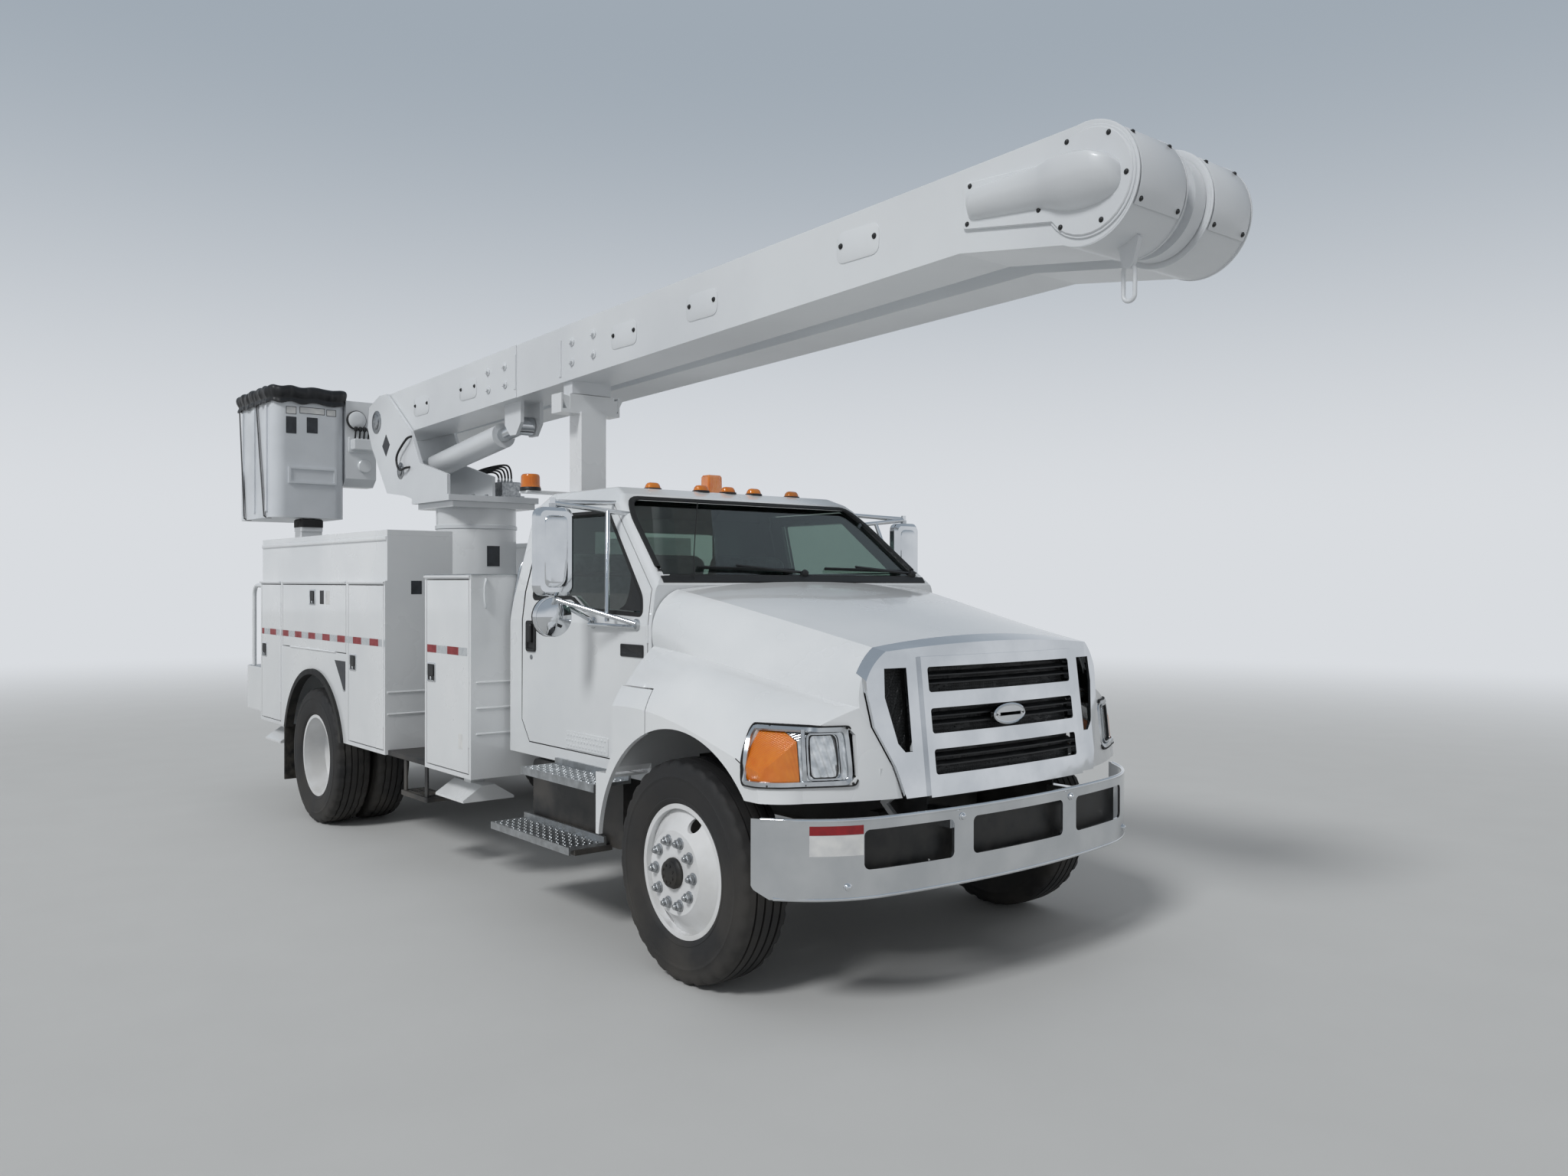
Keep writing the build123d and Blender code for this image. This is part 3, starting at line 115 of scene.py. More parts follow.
def facing(origin, out):
    """A drawing whose centre is at origin and whose thickness runs along out."""
    way = Vector(out).normalized()
    helper = Vector((0, 0, 1)) if abs(way.z) < 0.9 else Vector((0, 1, 0))
    across = helper.cross(way).normalized()
    place = Matrix((across, way.cross(across), way)).transposed().to_4x4()
    place.translation = origin
    return place


# Outlines

def turns_of(count, start=0.0):
    """Angles spaced evenly round a circle."""
    return [2 * pi * (step + start) / count for step in range(count)]


def grow(points, distance):
    """A closed outline moved outward by distance."""
    ahead = points[1:] + points[:1]
    turn = sum(a[0] * b[1] - b[0] * a[1] for a, b in zip(points, ahead))
    way = distance if turn > 0 else -distance
    moved = []
    for before, here, after in zip(points[-1:] + points[:-1], points, ahead):
        first = Vector((here[1] - before[1], before[0] - here[0])).normalized()
        second = Vector((after[1] - here[1], here[0] - after[0])).normalized()
        corner = (first + second) * (way / max(1 + first.dot(second), 0.3))
        moved.append((here[0] + corner.x, here[1] + corner.y))
    return moved


def soften(points, corner, steps=4):
    """A closed outline with its corners rounded."""
    soft = []
    for before, here, after in zip(points[-1:] + points[:-1], points, points[1:] + points[:1]):
        here = Vector(here)
        back, on = Vector(before) - here, Vector(after) - here
        start = here + back.normalized() * min(corner, 0.49 * back.length)
        end = here + on.normalized() * min(corner, 0.49 * on.length)
        for step in range(steps + 1):
            part = step / steps
            soft.append(tuple(start.lerp(here, part).lerp(here.lerp(end, part), part)))
    return soft


def rectangle(centre, width, height, corner=0.0):
    """A rounded rectangle about centre."""
    x, y = centre
    corners = [(x - width / 2, y - height / 2), (x + width / 2, y - height / 2),
        (x + width / 2, y + height / 2), (x - width / 2, y + height / 2)]
    return soften(corners, corner) if corner else corners


def oval(centre, width, height, count=32):
    """An ellipse about centre."""
    return [(centre[0] + width / 2 * cos(a), centre[1] + height / 2 * sin(a)) for a in turns_of(count)]


# Forms

def stack(form, rings, finish=0, loop=False):
    """Join rings of points that have the same count, and cap the ends unless they close a loop."""
    rows = [[form.verts.new(point) for point in ring] for ring in rings]
    faces = []
    pairs = list(zip(rows, rows[1:])) + ([(rows[-1], rows[0])] if loop else [])
    for low, high in pairs:
        for i, _ in enumerate(low):
            j = (i + 1) % len(low)
            faces.append(form.faces.new((low[i], low[j], high[j], high[i])))
    if not loop:
        faces += [form.faces.new(rows[0]), form.faces.new(rows[-1])]
    for face in faces:
        face.material_index = finish


def raised(form, place, outline, levels, finish=0):
    """An outline raised through levels of (inset, height)."""
    stack(form, [[place @ Vector((x, y, height)) for x, y in grow(outline, -inset)]
        for inset, height in levels], finish)


def slab(form, place, outline, wall, inset, top, finish=0):
    """An outline raised to wall and bevelled in by inset up to top, let 1 mm into what carries it."""
    raised(form, place, outline, ((0, -0.001), (0, wall), (inset, top)), finish)


def plate(form, place, outline, depth, finish=0, edge=0.002):
    """A plate with a bevelled edge, let 1 mm into what carries it."""
    slab(form, place, outline, depth - edge, edge, depth, finish)


def turned(form, place, profile, count=24, finish=0):
    """A turned form from (radius, height) along the place's own axis."""
    turns = turns_of(count)
    stack(form, [[place @ Vector((r * cos(a), r * sin(a), h)) for a in turns] for r, h in profile], finish)


def knob(form, spot, out, profile, count=24, finish=0):
    """A turned form at the spot (x, station, z), its axis along out."""
    turned(form, facing(at(*spot), out), profile, count, finish)


def hex_bolt(form, place, radius, finish=0):
    """A hexagon head on a washer."""
    turned(form, place, ((radius * 1.35, -0.001), (radius * 1.35, radius * 0.2),
        (radius * 1.3, radius * 0.24)), 16, finish)
    turned(form, place, ((radius, radius * 0.2), (radius, radius * 0.8), (radius * 0.88, radius * 0.95)), 6,
        finish)


def dome_screw(form, place, radius, finish=0):
    """A domed screw head with its flange."""
    turned(form, place, ((radius * 1.3, -0.001), (radius * 1.3, radius * 0.2), (radius, radius * 0.3),
        (radius * 0.85, radius * 0.75), (radius * 0.45, radius)), 12, finish)


def band(form, track, width, height, finish=0, loop=False):
    """A strip with bevelled edges along a track of (point, normal)."""
    rings = []
    count = len(track)
    for i, (point, normal) in enumerate(track):
        after = track[(i + 1) % count if loop else min(i + 1, count - 1)][0]
        before = track[(i - 1) % count if loop else max(i - 1, 0)][0]
        side = (after - before).cross(normal).normalized() * (width / 2)
        low, top = point - normal * 0.0015, point + normal * height
        rings.append([low - side, top - side * 0.75, top + side * 0.75, low + side])
    stack(form, rings, finish, loop)


def skin(*names):
    """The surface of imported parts, to lay fine parts on."""
    points, faces = [], []
    for name in names:
        mesh = nodes[name].data
        start = len(points)
        points += [vertex.co.copy() for vertex in mesh.vertices]
        faces += [[start + i for i in face.vertices] for face in mesh.polygons]
    return BVHTree.FromPolygons(points, faces)


def laid(tree, starts, way):
    """Where rays from the starts along way meet a surface, as (point, normal) facing the rays."""
    way = Vector(way).normalized()
    track = []
    for start in starts:
        point, normal, _, _ = tree.ray_cast(start, way)
        if point is not None:
            track.append((point, normal if normal.dot(way) < 0 else -normal))
    return track


def struck(tree, spots, start=-3):
    """Where rays that come from ahead of the truck at spots of (x, z) meet a surface, as laid gives it."""
    return laid(tree, [at(x, start, z) for x, z in spots], (0, 1, 0))


def dense(points, step, loop=True):
    """Points added along a line of straight runs, so that it can follow a curved surface."""
    close = points + points[:1] if loop else points
    line = []
    for a, b in zip(close, close[1:]):
        a, b = Vector(a), Vector(b)
        count = max(1, round((b - a).length / step))
        line += [a.lerp(b, i / count) for i in range(count)]
    return line if loop else line + [Vector(points[-1])]


def piece(name, form, body, *finishes, crease=35):
    """Make an object from a form, in its finishes, that rides on a body of the truck."""
    bmesh.ops.recalc_face_normals(form, faces=form.faces)
    mesh = bpy.data.meshes.new(name)
    form.to_mesh(mesh)
    form.free()
    for finish in finishes:
        mesh.materials.append(bpy.data.materials[finish])
    mesh.shade_smooth()
    mesh.set_sharp_from_angle(angle=radians(crease))
    made = bpy.data.objects.new(name, mesh)
    bpy.context.scene.collection.objects.link(made)
    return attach(made, body)


def bent_tube(name, routes, radius, body, finish):
    """Bent round tubes, each along its own route."""
    curve = bpy.data.curves.new(name, "CURVE")
    curve.dimensions = "3D"
    curve.bevel_depth = radius
    curve.bevel_resolution = 3
    curve.resolution_u = 8
    curve.use_fill_caps = True
    curve.materials.append(bpy.data.materials[finish])
    for route in routes:
        spline = curve.splines.new("NURBS")
        spline.points.add(len(route) - 1)
        for point, place in zip(spline.points, route):
            point.co = (*place, 1)
        spline.order_u = 3
        spline.use_endpoint_u = True
    made = bpy.data.objects.new(name, curve)
    bpy.context.scene.collection.objects.link(made)
    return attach(made, body)


# Materials

# A wave texture of scale 1 repeats every 0.314 units
WAVE_REPEAT = 0.314


def add_node(tree, kind, inputs=(), **settings):
    """Add one node with its settings, and give its inputs their values or link them."""
    node = tree.nodes.new(kind)
    for name, value in settings.items():
        setattr(node, name, value)
    for name, value in dict(inputs).items():
        if isinstance(value, bpy.types.NodeSocket):
            tree.links.new(value, node.inputs[name])
        else:
            node.inputs[name].default_value = value
    return node


def clear_tree(owner):
    """The emptied node tree of a material or a world."""
    owner.use_nodes = True
    owner.node_tree.nodes.clear()
    return owner.node_tree


def ramp(tree, value, low, high, ends=(0.0, 1.0), **settings):
    """A value mapped from between low and high to between two ends."""
    inputs = {"Value": value, "From Min": low, "From Max": high, "To Min": ends[0], "To Max": ends[1]}
    return add_node(tree, "ShaderNodeMapRange", inputs, **settings).outputs[0]


def blend(tree, part, first, second):
    """A colour that goes from first to second."""
    return add_node(tree, "ShaderNodeMix", {0: part, 6: first, 7: second}, data_type="RGBA").outputs[2]


def reckon(tree, operation, first, second):
    """Two values put together."""
    return add_node(tree, "ShaderNodeMath", {0: first, 1: second}, operation=operation).outputs[0]


def relief(tree, place, pattern, size):
    """The height of a pattern that repeats every size metres."""
    if pattern == "peel":
        return add_node(tree, "ShaderNodeTexNoise", {"Vector": place, "Scale": 1 / size,
            "Detail": 1.0}).outputs["Fac"]
    if pattern == "pebble":
        return add_node(tree, "ShaderNodeTexVoronoi", {"Vector": place, "Scale": 1 / size},
            feature="SMOOTH_F1").outputs["Distance"]
    if pattern == "cells":
        edges = add_node(tree, "ShaderNodeTexVoronoi",
            {"Vector": place, "Scale": 1 / size, "Randomness": 0.15},
            feature="DISTANCE_TO_EDGE").outputs["Distance"]
        return ramp(tree, edges, 0.18, 0.08)
    if pattern == "brushed":
        drawn = add_node(tree, "ShaderNodeVectorMath", {0: place, 1: (0.04, 0.04, 1.0)},
            operation="MULTIPLY")
        return add_node(tree, "ShaderNodeTexNoise", {"Vector": drawn.outputs[0],
            "Scale": 1 / size}).outputs["Fac"]
    round_corner = add_node(tree, "ShaderNodeVectorMath", {0: place, 1: (1, 1, 0)}, operation="DOT_PRODUCT")
    upright = add_node(tree, "ShaderNodeTexWave", {"Vector": round_corner.outputs["Value"],
        "Scale": WAVE_REPEAT / size}).outputs["Fac"]
    if pattern == "flutes":
        return upright
    level = add_node(tree, "ShaderNodeTexWave", {"Vector": place, "Scale": WAVE_REPEAT / size},
        bands_direction="Z").outputs["Fac"]
    return reckon(tree, "MAXIMUM", upright, level)


def surface(name, base, shade, rough, patch_mm, pattern=None, size_mm=1.0, depth_mm=0.1, dust=0.0,
        inner=None, sockets=()):
    """A finish that drifts from base to shade in patches.

    It can have a relief, road dust low down, and another colour on faces that look to the inner centre.
    """
    base, shade = (linear(colour) if isinstance(colour, str) else colour for colour in (base, shade))
    tree = clear_tree(bpy.data.materials.new(name))
    where = add_node(tree, "ShaderNodeTexCoord")
    place = where.outputs["Object"]
    noise = add_node(tree, "ShaderNodeTexNoise", {"Vector": place, "Scale": 1000 / patch_mm, "Detail": 5.0})
    patches = ramp(tree, noise.outputs["Fac"], 0.36, 0.64)
    colour = blend(tree, patches, base, shade)
    if inner:
        centre, trim = inner
        spoke = add_node(tree, "ShaderNodeVectorMath", {0: place, 1: centre},
            operation="SUBTRACT").outputs[0]
        turn = add_node(tree, "ShaderNodeVectorMath", {0: where.outputs["Normal"], 1: spoke},
            operation="DOT_PRODUCT")
        colour = blend(tree, ramp(tree, turn.outputs["Value"], 0.002, -0.002), colour, linear(trim))
    if dust:
        height = add_node(tree, "ShaderNodeSeparateXYZ", {0: place}).outputs["Z"]
        film = ramp(tree, height, 0.15, 1.1, (dust, 0.0))
        colour = blend(tree, reckon(tree, "MULTIPLY", film, patches), colour, linear("#A79E90"))
    sheen = ramp(tree, patches, 0.0, 1.0, (rough * 0.85, rough * 1.15))
    inputs = {"Base Color": colour, "Roughness": sheen, **dict(sockets)}
    if pattern:
        height = relief(tree, place, pattern, size_mm / 1000)
        inputs["Normal"] = add_node(tree, "ShaderNodeBump",
            {"Height": height, "Distance": depth_mm / 1000}).outputs[0]
    shader = add_node(tree, "ShaderNodeBsdfPrincipled", inputs)
    add_node(tree, "ShaderNodeOutputMaterial", {"Surface": shader.outputs[0]})


def make_finishes(colours):
    """Every finish of the truck."""
    enamel = {"Coat Weight": 0.7, "Coat Roughness": 0.06}
    metal = {"Metallic": 1.0}
    cab_centre, hood_centre = at(0, 1.25, 1.5), at(0, -0.2, 0.95)
    white, soft_white = tuple(colours.body_paint), "#DDE0E2"
    # Sprayed enamel, baked under a clear coat: sharp reflections over a faint peel of about 4 mm
    surface("sprayed_enamel", white, soft_white, 0.3, 900, "peel", 4, 0.02, 0.12, sockets=enamel)
    # The same enamel on the cab, whose inner faces are moulded grey trim
    surface("cab_enamel", white, soft_white, 0.3, 900, "peel", 4, 0.02, 0.1, (cab_centre, "#4C4E50"),
        enamel)
    # The same enamel on the hood's moulded shell, whose underside is left black
    surface("hood_enamel", white, soft_white, 0.26, 900, "peel", 5, 0.02, 0.1, (hood_centre, "#1D1E1F"),
        enamel)
    # Enamel on welded steel and laid-up glass fibre: a little duller, with weather in long patches
    surface("boom_enamel", tuple(colours.boom_paint), "#D8DBDE", 0.38, 1400, "peel", 6, 0.04,
        sockets={"Coat Weight": 0.35, "Coat Roughness": 0.15})
    # Gelcoat from a mould: smooth and waxy, with a slow waviness
    surface("moulded_gelcoat", tuple(colours.bucket_gelcoat), "#D3D7DB", 0.4, 500, "peel", 60, 0.4)
    # Brushed chassis paint: half matt black under road dust
    surface("chassis_paint", "#17181A", "#26272A", 0.5, 220, "peel", 12, 0.15, 0.25)
    # Cast and machined iron, oiled: rough grain of about 3 mm
    surface("cast_iron", "#2B2C2E", "#3A3A39", 0.6, 150, "pebble", 3, 0.25, 0.2, sockets={"Metallic": 0.6})
    # Vulcanised tyre rubber: dull, greyed by dust, with moulding marks of about 5 mm
    surface("tyre_rubber", "#1D1D1E", "#242425", 0.72, 300, "peel", 5, 0.25, 0.1)
    # Baked enamel on pressed wheels: even white, dusty near the road
    surface("baked_wheel_enamel", "#E8E9EA", "#DCDDDD", 0.34, 200, "peel", 3, 0.02, 0.1,
        sockets={"Coat Weight": 0.4, "Coat Roughness": 0.12})
    # Pressed aluminium: pale grey, scuffed in patches
    surface("pressed_aluminium", "#BFC2C4", "#A3A6A8", 0.42, 60, "brushed", 2, 0.05, 0.2, sockets=metal)
    # Tread plate: aluminium with a rolled-in pattern that repeats every 25 mm
    surface("tread_plate", "#C4C7C9", "#A9ACAE", 0.38, 90, "weave", 25, 1.2, sockets=metal)
    # Chrome plate on polished steel: nearly a mirror, with the faint waves of the pressing
    surface("chrome_plate", "#DFE1E3", "#CFD2D5", 0.06, 260, "peel", 90, 0.35, sockets=metal)
    # Satin chrome on moulded plastic: the same metal with a soft reflection
    surface("satin_chrome", "#C9CCCE", "#BABDC0", 0.24, 80, "peel", 6, 0.02, sockets=metal)
    # Zinc-plated steel: dull silver fasteners
    surface("zinc_plated_steel", "#B9BBBC", "#94979A", 0.36, 20, "peel", 3, 0.05, sockets=metal)
    # Hard chrome on a ground rod: bright, with fine rings from the grinding
    surface("ground_chrome", "#D5D8DA", "#C8CBCE", 0.14, 100, "brushed", 1.5, 0.02, sockets=metal)
    # Silvered mirror glass
    surface("mirror_glass", "#DDE3E4", "#D6DDDF", 0.02, 300, sockets=metal)
    # Moulded black plastic: leather-like grain, drawn at 3 mm so that it shows
    surface("moulded_plastic", "#151617", "#1F2021", 0.48, 90, "pebble", 3, 0.1, 0.1)
    # Moulded rubber: matt and even
    surface("moulded_rubber", "#121313", "#1E1E1E", 0.7, 60, "peel", 4, 0.08, 0.2)
    # Grained dashboard vinyl: matt charcoal
    surface("dash_vinyl", "#2A2B2D", "#333436", 0.62, 60, "pebble", 2.5, 0.12)
    # Woven seat cloth: threads drawn at 4 mm so that they show
    surface("woven_seat_cloth", tuple(colours.seat_cloth), "#55585B", 0.9, 40, "weave", 4, 0.5,
        sockets={"Sheen Weight": 0.35})
    # Black vinyl-coated fabric: a soft gloss that catches on the folds
    surface("coated_fabric", "#101113", "#1B1C1F", 0.42, 120, "weave", 3, 0.08)
    # Expanded metal painted black, its cells 14 mm across
    surface("expanded_mesh", "#0B0C0C", "#181919", 0.5, 50, "cells", 14, 3.0)
    # Laminated glass with a green-grey tint
    surface("float_glass", "#A9BAB2", "#A4B6AE", 0.01, 500,
        sockets={"Transmission Weight": 1.0, "IOR": 1.52})
    # Moulded acrylic lenses with upright prisms 9 mm apart
    lens = {"Transmission Weight": 0.15, "IOR": 1.49, "Coat Weight": 0.5, "Coat Roughness": 0.05}
    surface("amber_acrylic", tuple(colours.amber_lens), "#E87A14", 0.16, 60, "flutes", 9, 0.8, sockets=lens)
    surface("red_acrylic", "#9E1414", "#7E0F10", 0.16, 40, "flutes", 9, 1.0, sockets=lens)
    # Clear lens over a metallised bowl: bright and broken up by prisms
    surface("lens_over_reflector", "#E6E9EB", "#B4BABE", 0.14, 45, "flutes", 14, 1.6,
        sockets={"Metallic": 0.75, "Coat Weight": 1.0, "Coat Roughness": 0.03})
    # Reflective sheeting: small cells about 4 mm wide under a clear film
    film = {"Coat Weight": 0.15, "Coat Roughness": 0.15}
    surface("red_sheeting", tuple(colours.red_tape), "#84131A", 0.45, 30, "cells", 4, 0.05, sockets=film)
    surface("silver_sheeting", "#C6CACD", "#B4B9BC", 0.3, 30, "cells", 4, 0.05, sockets=film)
    # Vinyl film on the places of plates, left bare: pale or charcoal, in soft patches
    surface("printed_vinyl", "#E3E3E1", "#D2D3D3", 0.5, 70, "peel", 8, 0.02)
    surface("dark_vinyl", "#2B2D31", "#383B40", 0.45, 50, "peel", 8, 0.02)


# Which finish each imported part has
COATS = (
    ("sprayed_enamel", "service_body tool_cabinets cabinet_door front_door middle_door rear_door top_lid "
                       "pedestal boom_rest outrigger_front outrigger_rear"),
    ("cab_enamel", "cab_shell cab_door"),
    ("hood_enamel", "hood"),
    ("boom_enamel", "turret lower_boom upper_boom elbow_hub lift_barrel platform_bracket"),
    ("moulded_gelcoat", "bucket"),
    ("coated_fabric", "bucket_cover"),
    ("chassis_paint", "frame_rails side_tanks"),
    ("cast_iron", "axles knuckle powertrain"),
    ("tyre_rubber", "tyre_front tyres_rear"),
    ("baked_wheel_enamel", "rim_front rims_rear"),
    ("pressed_aluminium", "cab_steps"),
    ("chrome_plate", "front_bumper grille mirror"),
    ("ground_chrome", "lift_rod"),
    ("float_glass", "cab_glass door_glass"),
    ("dash_vinyl", "dashboard"),
    ("woven_seat_cloth", "seats"),
    ("lens_over_reflector", "headlamps"),
    ("amber_acrylic", "corner_lamps lamps"),
    ("moulded_rubber", "arch_trim"),
)


def colour_setting(name, description, code):
    """A colour that a user can change."""
    return FloatVectorProperty(name=name, description=description, subtype="COLOR", size=4, min=0, max=1,
        default=linear(code))


class TruckColours(bpy.types.PropertyGroup):
    """Colours of the truck's finishes."""
    body_paint: colour_setting("Body paint", "Enamel of the cab, hood and service body", "#E9EBEC")
    boom_paint: colour_setting("Boom paint", "Enamel of the turret and the booms", "#E4E7E9")
    bucket_gelcoat: colour_setting("Bucket gelcoat", "Moulded skin of the bucket", "#DFE3E7")
    amber_lens: colour_setting("Amber lens", "Acrylic of the marker lamps and beacons", "#F28C1E")
    red_tape: colour_setting("Red tape", "Red fields of the reflective stripe", "#97141C")
    seat_cloth: colour_setting("Seat cloth", "Woven cloth of the seats", "#6B6E71")


class TruckSizes(bpy.types.PropertyGroup):
    """Sizes of the truck's fine parts and the light's strength."""
    tread_depth: FloatProperty(name="Tread depth", description="Depth of the tyres' grooves", unit="LENGTH",
        min=0.002, max=0.02, default=0.012)
    stripe_height: FloatProperty(name="Stripe height", description="Height of the reflective stripe",
        unit="LENGTH", min=0.02, max=0.1, default=0.046)
    cover_drop: FloatProperty(name="Cover drop",
        description="How far the bucket's cover hangs down its sides", unit="LENGTH", min=0.03, max=0.2,
        default=0.085)
    sun_strength: FloatProperty(name="Key light", description="Strength of the key light", min=0, max=5,
        default=1.5)
    sky_strength: FloatProperty(name="Fill light", description="Strength of the soft light all round",
        min=0, max=2, default=0.38)


class TRUCK_OT_finishes(bpy.types.Operator):
    """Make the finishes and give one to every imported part"""
    bl_idname = "truck.finishes"
    bl_label = "Finishes"

    def execute(self, context):
        make_finishes(context.scene.truck_colours)
        coat = {name: finish for finish, names in COATS for name in names.split()}
        for name, part in nodes.items():
            material = bpy.data.materials[coat[name.removesuffix("_left").removesuffix("_right")]]
            for slot in part.material_slots:
                slot.material = material
        return {"FINISHED"}


# Half of a tyre's section as (distance from its middle, radius), from the bead to the tread
SIDEWALL = (
    (0.0985, 0.2865), (0.1045, 0.3005), (0.112, 0.306), (0.1165, 0.318), (0.118, 0.3215),
    (0.1165, 0.325), (0.1215, 0.345), (0.1262, 0.375), (0.1275, 0.402), (0.1268, 0.411),
    (0.1284, 0.414), (0.1284, 0.42), (0.1262, 0.423), (0.124, 0.445), (0.1205, 0.462),
    (0.115, 0.476), (0.106, 0.4862), (0.099, 0.4892),
)
# Round grooves: distances from the middle, and half of their width
GROOVES = (0.066, 0.022)
GROOVE_HALF = 0.0045
TREAD_RADIUS = 0.495
SHOULDER_RADIUS = 0.47
REAR_HALF_WIDTH = 0.1275


def tyre(form, x, station, depth, steps, lug_every, lug_reach):
    """A tyre with round grooves and slots cut across its shoulders."""
    half = list(SIDEWALL)
    for groove in GROOVES:
        crown = TREAD_RADIUS - 0.0035 * (groove / 0.1) ** 2
        half += [(groove + GROOVE_HALF + 0.001, crown), (groove + GROOVE_HALF, crown - depth),
            (groove - GROOVE_HALF, crown - depth), (groove - GROOVE_HALF - 0.001, crown)]
    section = [(-side, radius) for side, radius in half] + half[::-1]
    rings = []
    for side, radius in section:
        ring = []
        for step in range(steps):
            slotted = radius > SHOULDER_RADIUS and abs(side) > lug_reach and step % lug_every < 2
            r = radius - (depth * 0.7 if slotted else 0)
            turn = 2 * pi * step / steps
            ring.append(at(x + side, station + r * cos(turn), hub_z + r * sin(turn)))
        rings.append(ring)
    stack(form, rings, loop=True)


class TRUCK_OT_tyres(bpy.types.Operator):
    """Build the six tyres with their treads"""
    bl_idname = "truck.tyres"
    bl_label = "Tyres"

    def execute(self, context):
        depth = context.scene.truck_sizes.tread_depth
        for side, _ in SIDES:
            form = bmesh.new()
            tyre(form, middle(f"tyre_front_{side}").x, 0, depth, 160, 5, 0.088)
            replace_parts(piece(f"ribbed_tyre_{side}", form, f"wheel_front_{side}", "tyre_rubber"),
                f"tyre_front_{side}")
            form = bmesh.new()
            low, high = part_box(f"tyres_rear_{side}")
            for x in (low.x + REAR_HALF_WIDTH, high.x - REAR_HALF_WIDTH):
                tyre(form, x, rear_axle, depth, 180, 6, 0.03)
            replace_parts(piece(f"lugged_tyres_{side}", form, f"wheels_rear_{side}", "tyre_rubber"),
                f"tyres_rear_{side}")
        return {"FINISHED"}


# Radius of the circle of wheel nuts
NUT_CIRCLE = 0.142875


# Body, station, outer face of the disc, hub profile as (radius, reach beyond that face)
WHEELS = (
    ("wheel_front", 0, 1.173,
     ((0.068, -0.002), (0.068, 0.012), (0.062, 0.018), (0.0585, 0.03), (0.05, 0.0345), (0.02, 0.0355))),
    ("wheels_rear", rear_axle, 0.942,
     ((0.107, 0.045), (0.107, 0.06), (0.09, 0.064), (0.088, 0.075), (0.08, 0.11), (0.07, 0.113),
      (0.03, 0.114))),
)


class TRUCK_OT_wheel_parts(bpy.types.Operator):
    """Fit nuts, studs and hub caps to the wheels"""
    bl_idname = "truck.wheel_parts"
    bl_label = "Wheel nuts and hubs"

    def execute(self, context):
        for wheel, station, face, hub in WHEELS:
            for side, sign in SIDES:
                form = bmesh.new()
                for turn in turns_of(10):
                    place = facing(at(sign * face, station + NUT_CIRCLE * cos(turn),
                        hub_z + NUT_CIRCLE * sin(turn)), (sign, 0, 0))
                    turned(form, place, ((0.0265, -0.002), (0.0265, 0.003), (0.0225, 0.0055)), 20)
                    turned(form, place, ((0.0205, 0.004), (0.0205, 0.023), (0.0175, 0.0262)), 6)
                    turned(form, place, ((0.0115, 0.02), (0.0115, 0.036), (0.0095, 0.038)), 12)
                hub_place = facing(at(sign * face, station, hub_z), (sign, 0, 0))
                turned(form, hub_place, hub, 32, 1)
                radius, reach = hub[-2][0] * 0.78, hub[-1][1] - 0.001
                for turn in turns_of(8, 0.5):
                    spot = hub_place @ Vector((radius * cos(turn), radius * sin(turn), reach))
                    turned(form, facing(spot, (sign, 0, 0)),
                        ((0.006, -0.001), (0.006, 0.004), (0.005, 0.005)), 6, 1)
                piece(f"{wheel}_nuts_{side}", form, f"{wheel}_{side}", "zinc_plated_steel", "cast_iron")
        return {"FINISHED"}


# Slots and vents of the grille's shell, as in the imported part, and its lean
SLOTS_Z = ((0.97, 1.075), (1.14, 1.245), (1.312, 1.418))
VENT = [(0.578, 1.418), (0.69, 1.418), (0.698, 1.3), (0.655, 1.11), (0.62, 1.072), (0.582, 1.072)]
NOSE_LEAN = 0.127


class TRUCK_OT_grille_parts(bpy.types.Operator):
    """Fit the grille's louvres, meshes and blank oval"""
    bl_idname = "truck.grille_parts"
    bl_label = "Grille louvres and meshes"

    def execute(self, context):
        shell = skin("grille")
        form = bmesh.new()
        level = 1.107
        xs = [-0.49 + 0.07 * i for i in range(15)]
        faces = struck(shell, [(x, level) for x in xs])
        for low, high in SLOTS_Z:
            for z_low, z_high, front, back, drop in ((low - 0.012, high + 0.012, 0.058, 0.064, 0.0),
                    (low + 0.03, low + 0.036, 0.026, 0.056, 0.012),
                    (low + 0.064, low + 0.07, 0.026, 0.056, 0.012)):
                rings = []
                for point, _ in faces:
                    y = [point.y + (z - level) * NOSE_LEAN for z in (z_low, z_high)]
                    rings.append([(point.x, y[0] + front, z_low), (point.x, y[1] + front, z_high),
                        (point.x, y[1] + back, z_high + drop), (point.x, y[0] + back, z_low + drop)])
                stack(form, rings, 0 if drop else 1)
        for sign in (-1, 1):
            outline = [(sign * x, z) for x, z in grow(VENT, 0.012)]
            hits = [struck(shell, [(sign * 0.56, z)])[0][0].y + (abs(x) - 0.56) * 0.3 for x, z in outline]
            stack(form, [[(x, y + back, z) for (x, z), y in zip(outline, hits)] for back in (0.05, 0.056)],
                1)
        piece("grille_louvres", form, "hood", "moulded_plastic", "expanded_mesh")
        form = bmesh.new()
        front = struck(shell, [(0, 1.28)])[0][0].y - front_axle_y
        place = on_front(front - 0.008)
        raised(form, place, oval((0, 1.195), 0.215, 0.094),
            ((0, -0.012), (0, 0.006), (0.006, 0.01), (0.01, 0.008)))
        raised(form, place, oval((0, 1.195), 0.196, 0.076), ((0, 0.004), (0.004, 0.0085), (0.03, 0.0105)),
            1)
        plate(form, on_front(front + 0.05), rectangle((0, 1.19), 0.06, 0.05, 0.01), 0.06)
        piece("blank_oval", form, "hood", "chrome_plate", "boom_enamel")
        return {"FINISHED"}


